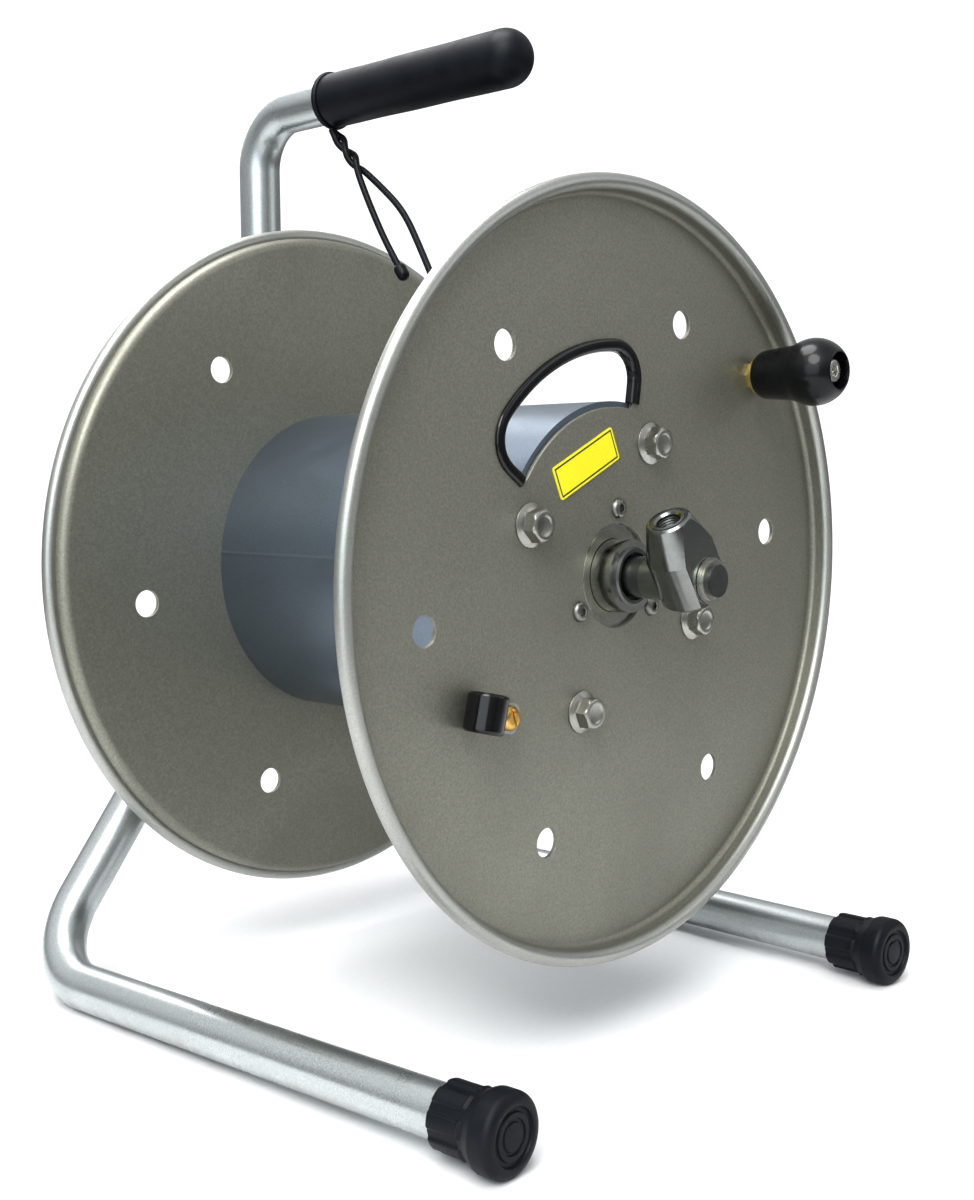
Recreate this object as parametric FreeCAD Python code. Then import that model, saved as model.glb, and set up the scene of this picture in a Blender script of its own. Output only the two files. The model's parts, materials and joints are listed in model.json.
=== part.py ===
"""Portable hose reel: a steel drum between two rimmed flanges, turned by a knob, on a bent-tube stand.

Frame: the axle lies along Y, the swivel and crank side faces -Y, +X is to the right seen from there,
+Z is up.  Sizes are laid out from the axle's centre and the front rim's plane, and save() moves every
piece so that the origin is the middle of the footprint, on the floor.  Millimetres.
"""
import FreeCAD, Part
import math
import os

V = FreeCAD.Vector
ALONG = V(0, 1, 0)
UP = V(0, 0, 1)
AXLE = V(0, 0, 0)

# ---- driving dimensions ------------------------------------------------------------------------
# flanges and drum
flange_dia = 400.0
rim_bead = 8.0            # diameter of the rolled edge
sheet = 2.5               # flange sheet thickness
recess = 7.0              # from the bead's middle to the outer face of the disc
rim_corner = 3.0          # inside radius between disc and lip
rim_spacing = 233.4       # front rim to rear rim, middle of bead to middle of bead
drum_dia = 178.0
drum_wall = 2.0
end_ring_thick = 3.0
end_ring_width = 32.0     # radially
fit_gap = 0.3             # running clearance between pieces that move past each other
past = 1.0                # how far a cutting shape runs past what it cuts
corner_share = 0.66       # radius that clears a hexagon's corners, as a share of its width across flats

# holes in the flanges
hole_count = 6
hole_dia = 15.0
hole_circle_dia = 283.4
hole_phase = 7.0
hub_lip = 0.5             # how far the disc laps over the bearing's edge
bolt_hole_gap = 0.5       # how much wider the holes are than their bolts
screw_hole_gap = 0.4

# flange bolts, M10
bolt_count = 4
bolt_dia = 10.0
bolt_inset = 15.7         # from the drum's surface in to the bolt circle
bolt_phase = 67.4
bolt_flange_dia = 22.0
bolt_flange_thick = 2.2
bolt_flange_edge = 0.8    # thickness at the flange's edge
bolt_cone_dia = 17.6      # where the flange's cone meets the hexagon
bolt_crown = 2.2          # height over which the hexagon's corners are turned away
bolt_crown_dia = 14.1
bolt_dish_dia = 9.3
bolt_dish = 0.4
bolt_across_flats = 15.0
bolt_head = 9.5           # head height with its flange
bolt_length = 20.0
nut_across_flats = 17.0
nut_thick = 8.4

# hub screws, M6 button head
screw_count = 3
screw_dia = 6.0
screw_outset = 7.0        # from the bearing's outside out to the screw circle
screw_phase = 88.6
screw_head_dia = 10.5
screw_head = 2.8
screw_head_top_dia = 5.7
screw_head_rise = 0.55    # how far the head's side bulges
screw_socket = 4.0        # across flats of the hexagon socket
screw_socket_depth = 2.1
screw_length = 7.5

# bearing units
axle_dia = 30.0
inner_race_wall = 3.75
race_space = 5.05         # between the two rings
outer_race_wall = 3.7
bearing_width = 13.0
ball_dia = 7.14
ball_count = 9
race_gap = 0.12           # between a ball and its groove
collar_reach = 3.0        # how far the inner ring's collar stands in front of the rim plane
cage_thick = 1.6
cage_margin = 0.8         # beside each ball
seal_thick = 1.2
housing_edge = 6.5        # from the screw circle out to the flange's edge
housing_flange = 6.0
housing_wall = 5.5        # round the bearing
housing_depth = 18.0
housing_lip = 3.0         # behind the bearing's outer ring
set_screw_dia = 6.0
set_screw_socket = 3.0
set_screw_length = 3.6
set_screw_floor = 1.4     # solid metal under the socket
set_screw_angles = (135.0, 255.0)
set_screw_y = 2.5         # behind the rim plane

# axle and what carries it
axle_front_reach = 5.0    # in front of the rim plane
axle_bore = 14.0
axle_stub = 4.0           # out of the boss's rear face
stem_socket_depth = 24.0
stem_mouth_dia = 24.6
stem_mouth_depth = 5.0
boss_wall = 7.0           # round the axle
boss_gap = 30.6           # from the rear rim's plane to the boss
boss_length = 44.0
boss_edge = 1.5
axle_edge = 1.0

# swivel
stem_dia = 21.0
stem_thread_length = 20.0
journal_dia = 16.0
water_bore = 8.0
neck_dia = 22.5
neck_face = 14.5          # in front of the rim plane
port_axis = 38.5          # in front of the rim plane
port_turn = 33.0          # degrees from straight up, towards -X
port_reach = 36.0         # from the axle's centre to the port's face
port_face_dia = 22.6
port_bore = 12.0          # tapped
port_bore_depth = 24.0    # from the port's face
port_drilling = 9.0       # from there to the journal
port_mouth_dia = 14.0
port_groove_dia = 18.6
port_groove_width = 0.7
port_groove_depth = 0.5
port_edge = 1.0
barrel_dia = 34.0
barrel_top = 17.0
barrel_bottom = 9.5
barrel_chamfer = 2.5
swivel_flat = 49.6        # plane of the flat front face, in front of the rim plane
washer_dia = 22.8
washer_thick = 1.4
journal_end = 55.0        # in front of the rim plane
ring_thick = 1.2
ring_groove = 0.8         # depth in the journal
ring_reach = 1.8          # beyond the journal
ring_opening = 4.0
seal_section = 2.4
seal_squeeze = 0.05
seal_front_land = 2.5     # between a seal groove and the port's drilling
seal_rear_land = 5.5

# hose slot in the front flange, over the drum
slot_start = 81.6
slot_end = 145.7
slot_height = 27.3        # from the drum's surface out to the slot's outer edge
slot_depth = 3.0          # from the drum's surface inwards to the slot's lower edge
slot_corner = 10.0        # at the outer corners
slot_foot_corner = 3.0    # at the corners beside the drum
trim_cover = 4.0          # how far the trim laps over the sheet
trim_inside = 2.6         # how far it stands into the slot
trim_wall = 2.0
trim_foot = 2.0           # from the drum's surface out to the trim's ends

# label plate
label_length = 50.5
label_width = 17.5
label_thick = 0.6
label_x = -25.2
label_z = 57.6
label_turn = 24.3
label_corner = 1.5

# hose clip
clip_screw_x = -87.5
clip_screw_z = -63.0
clip_turn = -14.0         # direction from loop to screw
clip_loop_dia = 20.0
clip_width = 19.0
clip_cushion = 2.2
clip_strap = 1.0
clip_lap = 0.8            # cushion outside the strap
clip_screw_offset = 24.0
clip_tab_width = 15.0
clip_tab_corner = 4.0
clip_spacer_dia = 10.5
clip_screw_dia = 6.0
clip_head_dia = 12.5
clip_head = 4.0
clip_head_edge = 1.2
clip_head_top_dia = 5.0
clip_head_rise = 0.9
clip_slot_width = 1.4
clip_slot_depth = 1.1
clip_slot_turn = -35.0
clip_nut_flats = 10.0
clip_nut_thick = 5.0
clip_screw_end = 7.0      # behind the disc

# crank knob
knob_x = 123.5
knob_z = 106.0
knob_foot_dia = 21.0
knob_neck_dia = 27.5
knob_waist_dia = 31.0
knob_shoulder = 6.5       # length of the rounded shoulder between foot and neck
knob_shoulder_rise = 0.7
knob_bulb_dia = 36.8
knob_bulb_y = 33.0        # bulb's centre, in front of the rim plane
knob_end = 48.0
knob_recess_dia = 20.0
knob_recess = 11.0
knob_bolt_dia = 8.0
knob_head_dia = 13.0
knob_head = 8.0
knob_head_edge = 0.8
knob_socket = 6.0
knob_socket_depth = 4.0
knob_bolt_end = 2.0       # beyond the lock nut
jam_nut_flats = 13.0
jam_washer_dia = 21.0
jam_washer_thick = 1.6
jam_nut_thick = 4.0
lock_nut_thick = 8.0

# stand
tube_dia = 25.4
tube_wall = 2.1
axle_height = 242.0
upright_behind = 57.6     # the upright's plane, behind the rear rim's
leg_behind = 47.6
leg_foot_x = 184.0        # from the middle to the corner where a rail turns up into its leg
leg_bend = 45.0
leg_apex = 7.0            # above the axle, where the legs' lines meet
rail_front_x = 164.2
rail_front = 63.5         # in front of the rim plane
handle_height = 276.4     # above the axle, at the rear corner
handle_drop = 3.9         # from there to the front end
handle_bend = 32.0
handle_front = 84.0       # the tube's end inside the grip, behind the rim plane
grip_wall = 2.7
grip_front = 82.4         # centre of the round end
grip_rear = 218.4
grip_edge = 0.8
cap_bell_wall = 6.3       # round the tube
cap_neck_wall = 4.0
cap_sleeve_wall = 2.8
cap_length = 37.0
cap_end = 3.6
cap_bell_face = 10.5      # length of the bell at its full diameter
cap_bell_length = 20.6    # from the face to the bell's small end
cap_edge = 2.5
cap_ring_dia = 22.0       # the groove in the end face
cap_ring_width = 2.0
cap_ring_depth = 1.2
cap_flute_count = 8
cap_flute_width = 4.0
cap_flute_depth = 1.0

# rear inlet
inlet_bore = 9.0
inlet_socket_dia = 18.0
inlet_socket_depth = 14.0
inlet_flats = 27.0
inlet_hex = 10.0
inlet_thread_dia = 20.6
inlet_thread = 14.0

# hose tie on the handle
tie_dia = 3.9
tie_gap = 0.15
tie_tip_dia = 7.4
tie_tip_length = 11.0
twist_radius = 2.2
twist_steps = 8           # in the one whole turn that the strands make round each other
twist_top = V(0, 217.2, 254.3)
twist_foot = V(0, 197.5, 231.8)
short_exit = V(-twist_radius, 219.4, 257.9)
long_exit = V(twist_radius, 221.0, 256.8)
short_leg = [V(-2.1, 195.3, 226.0), V(-1.9, 190.2, 215.4), V(-1.5, 183.2, 201.8),
             V(-0.9, 175.8, 188.4), V(-0.4, 169.4, 178.4), V(0.0, 164.8, 171.4)]
long_leg = [V(2.2, 191.0, 227.1), V(2.0, 180.6, 218.9), V(1.6, 168.0, 208.4),
            V(1.1, 158.9, 198.2), V(0.7, 150.9, 185.3), V(0.3, 143.2, 172.2), V(0.1, 138.3, 163.4)]
tip_reach = 2.6           # how far a strand goes into its tip

# ---- worked out from those ----------------------------------------------------------------------
inner_ring_dia = axle_dia + 2 * inner_race_wall
outer_ring_bore = inner_ring_dia + 2 * race_space
bearing_outer_dia = outer_ring_bore + 2 * outer_race_wall
hub_hole_dia = bearing_outer_dia - 2 * hub_lip
screw_circle_dia = bearing_outer_dia + 2 * screw_outset
housing_dia = screw_circle_dia + 2 * housing_edge
housing_boss_dia = bearing_outer_dia + 2 * housing_wall
housing_lip_bore = bearing_outer_dia - 2 * housing_lip
boss_dia = axle_dia + 2 * boss_wall
boss_front = rim_spacing + boss_gap
boss_rear = boss_front + boss_length
axle_rear_end = boss_rear + axle_stub
bolt_circle_dia = drum_dia - 2 * bolt_inset
end_ring_dia = drum_dia - 2 * drum_wall
slot_outer_dia = drum_dia + 2 * slot_height
upright_plane = rim_spacing + upright_behind
leg_plane = rim_spacing + leg_behind
grip_dia = tube_dia + 2 * grip_wall
cap_dia = tube_dia + 2 * cap_bell_wall
cap_neck_dia = tube_dia + 2 * cap_neck_wall
cap_sleeve_dia = tube_dia + 2 * cap_sleeve_wall
rim_radius = flange_dia / 2
bead_radius = rim_bead / 2
bead_centre = rim_radius - bead_radius
disc_back = recess + sheet
middle = rim_spacing / 2
drum_radius = drum_dia / 2
inner_ring_back = disc_back + bearing_width
race_centre = disc_back + bearing_width / 2
pitch_radius = (inner_ring_dia + outer_ring_bore) / 4
groove_radius = ball_dia / 2 + race_gap
rear_end = axle_rear_end + inlet_hex + inlet_thread
rail_run = leg_plane + rail_front
rail_fall = (cap_dia - tube_dia) / 2 / rail_run
rail_spread = (leg_foot_x - rail_front_x) / rail_run
cap_lean = math.hypot(rail_fall, rail_spread)
cap_front = rail_front + cap_end + (cap_dia / 2 - cap_edge) * cap_lean
footprint_middle = (rear_end - cap_front) / 2
cap_height = cap_dia / 2 + rail_fall * (cap_bell_face - cap_end) - axle_height
rail_height = tube_dia / 2 - rail_fall * leg_bend - axle_height
tie_plane = grip_rear + tie_gap + tie_dia / 2

os.makedirs("parts", exist_ok=True)


# ---- building blocks ----------------------------------------------------------------------------
def rod(diameter, y0, y1, x=0.0, z=0.0):
    """A round bar along Y."""
    return Part.makeCylinder(diameter / 2, y1 - y0, V(x, y0, z), ALONG)


def pipe(outer, inner, y0, y1, x=0.0, z=0.0):
    """A round bar along Y with a bore right through."""
    return rod(outer, y0, y1, x, z).cut(rod(inner, y0 - past, y1 + past, x, z))


def hexagon(across_flats, y0, y1, x=0.0, z=0.0):
    """A hexagonal bar along Y."""
    radius = across_flats / math.sqrt(3)
    corners = [V(x + radius * math.cos(math.radians(60 * k)), y0,
                 z + radius * math.sin(math.radians(60 * k))) for k in range(7)]
    return Part.Face(Part.makePolygon(corners)).extrude(V(0, y1 - y0, 0))


def outline(start, *steps):
    """A closed wire in the XY plane from (x, y) points; a pair of points is an arc through the first."""
    edges = []
    here = V(start[0], start[1], 0)
    for step in steps:
        if isinstance(step[0], tuple):
            by = V(step[0][0], step[0][1], 0)
            end = V(step[1][0], step[1][1], 0)
            edges.append(Part.Arc(here, by, end).toShape())
        else:
            end = V(step[0], step[1], 0)
            edges.append(Part.LineSegment(here, end).toShape())
        here = end
    first = V(start[0], start[1], 0)
    if (here - first).Length > 1e-6:
        edges.append(Part.LineSegment(here, first).toShape())
    return Part.Wire(edges)


def bulge(start, end, rise):
    """The middle point of an arc between two profile points, which stands off their chord by rise."""
    along = V(end[0] - start[0], end[1] - start[1], 0)
    off = V(-along.y, along.x, 0).normalize() * rise
    return ((start[0] + end[0]) / 2 + off.x, (start[1] + end[1]) / 2 + off.y)


def turned(start, *steps):
    """A solid turned about the axle from a profile of (radius, y) points."""
    return Part.Face(outline(start, *steps)).revolve(AXLE, ALONG, 360)


def on_circle(count, phase, diameter):
    """The (x, z) places of a ring of holes, the angle measured from +X towards +Z."""
    places = []
    for k in range(count):
        angle = math.radians(phase + 360 * k / count)
        places.append((diameter / 2 * math.cos(angle), diameter / 2 * math.sin(angle)))
    return places


def joined(pieces):
    """Overlapping solids made one."""
    whole = pieces[0].fuse(pieces[1:])
    return whole.removeSplitter()


def group(pieces):
    """Separate solids kept side by side in one node."""
    return Part.makeCompound([solid for piece in pieces for solid in piece.Solids])


def to_rear(shape):
    """A front piece's twin on the rear flange, mirrored about the drum's middle."""
    return shape.mirror(V(0, middle, 0), ALONG)


def save(name, shape):
    """Move a finished piece to the floor frame and write it."""
    if not shape.isValid():
        raise ValueError(name + " is not a valid solid")
    placed = shape.copy()
    placed.translate(V(0, -footprint_middle, axle_height))
    placed.exportStep("parts/" + name + ".step")


def polar(radius, degrees, y):
    """A point at a radius and angle about the axle."""
    angle = math.radians(degrees)
    return V(radius * math.cos(angle), y, radius * math.sin(angle))


def sector(inner, outer, start, end, corner, y0, y1):
    """A slab between two radii and two angles, its outer corners rounded more than its inner ones."""
    mid = (start + end) / 2
    edges = [
        Part.Arc(polar(outer, start, y0), polar(outer, mid, y0), polar(outer, end, y0)).toShape(),
        Part.LineSegment(polar(outer, end, y0), polar(inner, end, y0)).toShape(),
        Part.Arc(polar(inner, end, y0), polar(inner, mid, y0), polar(inner, start, y0)).toShape(),
        Part.LineSegment(polar(inner, start, y0), polar(outer, start, y0)).toShape(),
    ]
    slab = Part.Face(Part.Wire(edges)).extrude(V(0, y1 - y0, 0))
    upright = [e for e in slab.Edges
               if abs(e.Length - (y1 - y0)) < 1e-6 and abs(e.tangentAt(e.FirstParameter).y) > 0.99]
    inner_ones = [e for e in upright if math.hypot(e.Vertexes[0].X, e.Vertexes[0].Z) < (inner + outer) / 2]
    outer_ones = [e for e in upright if e not in inner_ones]
    slab = slab.makeFillet(corner, outer_ones)
    feet = [e for e in slab.Edges
            if abs(e.Length - (y1 - y0)) < 1e-6
            and abs(math.hypot(e.Vertexes[0].X, e.Vertexes[0].Z) - inner) < 1e-6]
    return slab.makeFillet(slot_foot_corner, feet)


def grown_sector(grow, y0, y1):
    """The hose slot's outline, made larger all round by grow."""
    inner = drum_radius - slot_depth - grow
    outer = slot_outer_dia / 2 + grow
    spread = math.degrees(grow / ((inner + outer) / 2))
    return sector(inner, outer, slot_start - spread, slot_end + spread, slot_corner + grow, y0, y1)


def bent_path(points, bends):
    """A wire of straight runs joined by tangent arcs, one bend radius for each inner point."""
    edges = []
    here = points[0]
    for k, bend in enumerate(bends):
        corner = points[k + 1]
        back = (here - corner).normalize()
        ahead = (points[k + 2] - corner).normalize()
        half = (math.pi - back.getAngle(ahead)) / 2
        length = bend * math.tan(half)
        start = corner + back * length
        end = corner + ahead * length
        inward = (back + ahead).normalize()
        by = corner + inward * (bend / math.cos(half) - bend)
        edges.append(Part.LineSegment(here, start).toShape())
        edges.append(Part.Arc(start, by, end).toShape())
        here = end
    edges.append(Part.LineSegment(here, points[-1]).toShape())
    return Part.Wire(edges)


def swept(path, diameter):
    """A round bar along a path."""
    start = path.Edges[0]
    heading = start.tangentAt(start.FirstParameter)
    ring = Part.Wire(Part.Circle(start.valueAt(start.FirstParameter), heading, diameter / 2).toShape())
    return path.makePipeShell([ring], True, False)


def bent_tube(points, bends):
    """A length of the stand's tube, hollow and open at both ends."""
    path = bent_path(points, bends)
    return swept(path, tube_dia).cut(swept(path, tube_dia - 2 * tube_wall))


# ---- flanges and drum ---------------------------------------------------------------------------
def flange():
    """A disc with a lip and a rolled bead, turned, with its round holes."""
    lip_in = bead_centre - bead_radius
    lip_out = lip_in + sheet
    leave = math.sqrt(bead_radius ** 2 - (bead_centre - lip_out) ** 2)
    slant = math.sqrt(0.5)
    inner_mid = (lip_in - rim_corner * (1 - slant), recess - rim_corner * (1 - slant))
    outer_bend = rim_corner + sheet
    outer_mid = (lip_out - outer_bend * (1 - slant), disc_back - outer_bend * (1 - slant))
    blank = turned(
        (hub_hole_dia / 2, recess),
        (lip_in - rim_corner, recess),
        (inner_mid, (lip_in, recess - rim_corner)),
        (lip_in, 0),
        ((bead_centre, -bead_radius), (rim_radius, 0)),
        ((bead_centre + bead_radius * slant, bead_radius * slant), (lip_out, leave)),
        (lip_out, disc_back - outer_bend),
        (outer_mid, (lip_out - outer_bend, disc_back)),
        (hub_hole_dia / 2, disc_back),
    )
    cuts = [rod(hole_dia, 0, 2 * disc_back, x, z)
            for x, z in on_circle(hole_count, hole_phase, hole_circle_dia)]
    cuts += [rod(bolt_dia + bolt_hole_gap, 0, 2 * disc_back, x, z)
             for x, z in on_circle(bolt_count, bolt_phase, bolt_circle_dia)]
    cuts += [rod(screw_dia + screw_hole_gap, 0, 2 * disc_back, x, z)
             for x, z in on_circle(screw_count, screw_phase, screw_circle_dia)]
    return blank.cut(cuts)


def front_flange():
    """The crank side's flange, with the hose slot and the holes for the knob and the clip."""
    cuts = [
        grown_sector(0, recess - past, disc_back + past),
        rod(knob_bolt_dia + screw_hole_gap, recess - past, disc_back + past, knob_x, knob_z),
        rod(clip_screw_dia + screw_hole_gap, recess - past, disc_back + past, clip_screw_x, clip_screw_z),
    ]
    return flange().cut(cuts)


def drum_shell():
    """The rolled shell that the hose lies on."""
    return pipe(drum_dia, end_ring_dia, disc_back, rim_spacing - disc_back)


def end_ring():
    """The ring inside the shell's front end, which the flange bolts pull against."""
    bore = end_ring_dia - 2 * end_ring_width
    blank = pipe(end_ring_dia, bore, disc_back, disc_back + end_ring_thick)
    return blank.cut([rod(bolt_dia + bolt_hole_gap, 0, middle, x, z)
                      for x, z in on_circle(bolt_count, bolt_phase, bolt_circle_dia)])


def flange_bolt(x, z):
    """A hexagon bolt with a flange under its head, pointing into the drum."""
    cone_y = recess - bolt_flange_thick
    washer = turned(
        (0, recess),
        (bolt_flange_dia / 2, recess),
        (bolt_flange_dia / 2, recess - bolt_flange_edge),
        (bolt_cone_dia / 2, cone_y),
        (0, cone_y),
    )
    washer.translate(V(x, 0, z))
    top = recess - bolt_head
    head = hexagon(bolt_across_flats, top, cone_y, x, z)
    corner = bolt_across_flats * corner_share
    crown = Part.makeCone(bolt_crown_dia / 2, corner, bolt_crown, V(x, top, z), ALONG)
    below = rod(2 * bolt_across_flats, top + bolt_crown, recess, x, z)
    head = head.common(crown.fuse(below))
    dish = rod(bolt_dish_dia, top - past, top + bolt_dish, x, z)
    shank = rod(bolt_dia, recess, recess + bolt_length, x, z)
    return joined([washer, head.cut(dish), shank])


def bolt_set():
    """All the front flange bolts."""
    return group([flange_bolt(x, z) for x, z in on_circle(bolt_count, bolt_phase, bolt_circle_dia)])


def weld_nuts():
    """The nuts welded behind the front end ring."""
    near = disc_back + end_ring_thick
    nuts = []
    for x, z in on_circle(bolt_count, bolt_phase, bolt_circle_dia):
        nut = hexagon(nut_across_flats, near, near + nut_thick, x, z)
        nuts.append(nut.cut(rod(bolt_dia, near - past, near + nut_thick + past, x, z)))
    return group(nuts)


# ---- bearing unit, front ------------------------------------------------------------------------
def bearing_housing():
    """A flanged cup behind the disc that holds the bearing's outer ring."""
    back = disc_back + housing_depth
    blank = joined([
        rod(housing_dia, disc_back, disc_back + housing_flange),
        rod(housing_boss_dia, disc_back, back),
    ])
    cuts = [
        rod(bearing_outer_dia, disc_back - past, inner_ring_back),
        rod(housing_lip_bore, disc_back, back + past),
    ]
    cuts += [rod(screw_dia, disc_back - past, recess + screw_length + fit_gap, x, z)
             for x, z in on_circle(screw_count, screw_phase, screw_circle_dia)]
    return blank.cut(cuts)


def race(radius):
    """The ring-shaped space that the balls need."""
    return Part.makeTorus(radius, groove_radius, V(0, race_centre, 0), ALONG)


def outer_ring():
    """The bearing's outer ring, with its ball groove."""
    return pipe(bearing_outer_dia, outer_ring_bore, disc_back, inner_ring_back).cut(race(pitch_radius))


def inner_ring():
    """The bearing's inner ring, drawn out in front as a collar with two set screws."""
    ring = pipe(inner_ring_dia, axle_dia, -collar_reach, inner_ring_back).cut(race(pitch_radius))
    for screw in set_screw_places():
        ring = ring.cut(screw)
    return ring


def set_screw_places(socket=False):
    """Bars through the collar where the set screws sit, or the screws themselves with their sockets."""
    screws = []
    for angle in set_screw_angles:
        heading = polar(1, angle, 0)
        seat = heading * (axle_dia / 2) + V(0, set_screw_y, 0)
        if socket:
            body = Part.makeCylinder(set_screw_dia / 2, set_screw_length, seat, heading)
            floor = seat + heading * set_screw_floor
            hole = Part.makeCylinder(set_screw_socket / 2, set_screw_length, floor, heading)
            screws.append(body.cut(hole))
        else:
            inside = seat - heading * past
            screws.append(Part.makeCylinder(set_screw_dia / 2, inner_ring_dia / 2, inside, heading))
    return screws


def balls():
    """The ring of balls."""
    return group([Part.makeSphere(ball_dia / 2, V(x, race_centre, z))
                  for x, z in on_circle(ball_count, 0, 2 * pitch_radius)])


def cage():
    """A pressed cage with a pocket for each ball, clear of both rings."""
    half_width = ball_dia / 2 + cage_margin
    band = pipe(2 * pitch_radius + cage_thick, 2 * pitch_radius - cage_thick,
                race_centre - half_width, race_centre + half_width)
    pockets = []
    for x, z in on_circle(ball_count, 0, 2):
        start = V(0, race_centre, 0)
        pockets.append(Part.makeCylinder(groove_radius, 2 * pitch_radius, start, V(x, 0, z)))
    return band.cut(pockets)


def bearing_seals():
    """The two seals in the outer ring's bore, just clear of the inner ring."""
    bore = inner_ring_dia + 2 * fit_gap
    return group([
        pipe(outer_ring_bore, bore, disc_back, disc_back + seal_thick),
        pipe(outer_ring_bore, bore, inner_ring_back - seal_thick, inner_ring_back),
    ])


def hub_screw(x, z):
    """A button-head screw with a hexagon socket, into the housing's flange."""
    top = recess - screw_head
    edge = (screw_head_dia / 2, recess)
    crown = (screw_head_top_dia / 2, top)
    head = turned(
        (0, recess),
        edge,
        (bulge(edge, crown, screw_head_rise), crown),
        (0, top),
    )
    head.translate(V(x, 0, z))
    head = head.cut(hexagon(screw_socket, top - past, top + screw_socket_depth, x, z))
    return joined([head, rod(screw_dia, top + screw_socket_depth, recess + screw_length, x, z)])


def hub_screws():
    """All the front hub screws."""
    return group([hub_screw(x, z) for x, z in on_circle(screw_count, screw_phase, screw_circle_dia)])


# ---- axle, boss and stand -----------------------------------------------------------------------
def axle():
    """The fixed hollow axle that the water comes through."""
    bar = rod(axle_dia, -axle_front_reach, axle_rear_end)
    chamfered = [e for e in bar.Edges if e.Curve.TypeId == "Part::GeomCircle"]
    bar = bar.makeChamfer(axle_edge, chamfered)
    front = -axle_front_reach
    return bar.cut([
        rod(axle_bore, front - past, axle_rear_end + past),
        rod(stem_dia, front - past, front + stem_socket_depth),
        rod(stem_mouth_dia, front - past, front + stem_mouth_depth),
        rod(inlet_socket_dia, axle_rear_end - inlet_socket_depth, axle_rear_end + past),
    ])


def axle_boss():
    """The thick socket that the axle is welded into, where the stand's tubes meet."""
    blank = pipe(boss_dia, axle_dia, boss_front, boss_rear)
    outer = [e for e in blank.Edges
             if e.Curve.TypeId == "Part::GeomCircle" and abs(e.Curve.Radius - boss_dia / 2) < 1e-6]
    return blank.makeChamfer(boss_edge, outer)


def handle_point(y):
    """A point on the handle's centreline, which drops a little towards the front."""
    fall = handle_drop * (upright_plane - y) / (upright_plane - handle_front)
    return V(0, y, handle_height - fall)


def on_handle(shape, y):
    """Turn a piece built about the axle into line with the handle, its own zero at y."""
    ahead = handle_point(upright_plane) - handle_point(handle_front)
    turn = FreeCAD.Rotation(ALONG, ahead)
    shape.Placement = FreeCAD.Placement(handle_point(y), turn)
    return shape


def handle_tube():
    """The upright behind the drum, bent forward on top into the carrying handle."""
    tube = bent_tube([V(0, upright_plane, 0), handle_point(upright_plane),
                      handle_point(handle_front)], [handle_bend])
    return tube.cut(rod(boss_dia, boss_front - past, boss_rear + past))


def leg_tube(side):
    """A floor rail bent up at the back into a sloping leg; side is -1 for left and 1 for right."""
    tube = bent_tube([V(side * rail_front_x, -rail_front, cap_height),
                      V(side * leg_foot_x, leg_plane, rail_height),
                      V(0, leg_plane, leg_apex)], [leg_bend])
    clear = rod(boss_dia, boss_front - tube_dia, boss_rear + tube_dia)
    beyond = Part.makeBox(2 * leg_foot_x, 2 * tube_dia, axle_height)
    beyond.translate(V(0 if side < 0 else -2 * leg_foot_x, leg_plane - tube_dia, -axle_height / 2))
    return tube.cut([clear, beyond])


def grip():
    """The rubber grip with its closed round end."""
    radius = grip_dia / 2
    slant = radius * math.sqrt(0.5)
    length = grip_rear - grip_front
    whole = turned(
        (0, -radius),
        ((slant, -slant), (radius, 0)),
        (radius, length - grip_edge),
        (radius - grip_edge, length),
        (0, length),
    )
    return on_handle(whole.cut(rod(tube_dia, handle_front - grip_front, length + past)), grip_front)


def foot_cap(side):
    """A fluted rubber cap with a bell at its front end, on and in line with a rail."""
    sleeve = cap_sleeve_dia / 2
    bell = cap_dia / 2
    edge_mid = cap_edge * (1 - math.sqrt(0.5))
    blank = turned(
        (0, 0),
        (bell - cap_edge, 0),
        ((bell - edge_mid, edge_mid), (bell, cap_edge)),
        (bell, cap_bell_face),
        (cap_neck_dia / 2, cap_bell_length),
        (sleeve, cap_length),
        (0, cap_length),
    )
    cuts = [
        pipe(cap_ring_dia + 2 * cap_ring_width, cap_ring_dia, -past, cap_ring_depth),
        rod(tube_dia, cap_end, cap_length + past),
    ]
    for k in range(cap_flute_count):
        flute = Part.makeBox(cap_flute_width, cap_length, cap_dia)
        flute.translate(V(-cap_flute_width / 2, cap_bell_length, sleeve - cap_flute_depth))
        flute.rotate(AXLE, ALONG, 360 * k / cap_flute_count)
        cuts.append(flute)
    blank = blank.cut(cuts)
    heading = V(side * (leg_foot_x - rail_front_x), leg_plane + rail_front, rail_height - cap_height)
    turn = FreeCAD.Rotation(ALONG, heading)
    front = V(side * rail_front_x, -rail_front, cap_height) - heading.normalize() * cap_end
    blank.Placement = FreeCAD.Placement(front, turn)
    return blank


def inlet():
    """The hexagon adapter screwed into the axle's rear end."""
    face = axle_rear_end
    end = face + inlet_hex + inlet_thread
    cone = Part.makeCone(inlet_flats * corner_share, inlet_flats / 2, inlet_hex, V(0, face, 0), ALONG)
    body = joined([
        rod(inlet_socket_dia, face - inlet_socket_depth + past, face + past),
        hexagon(inlet_flats, face, face + inlet_hex).common(cone),
        rod(inlet_thread_dia, face + inlet_hex - past, end),
    ])
    return body.cut(rod(inlet_bore, face - inlet_socket_depth, end + past))


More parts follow.
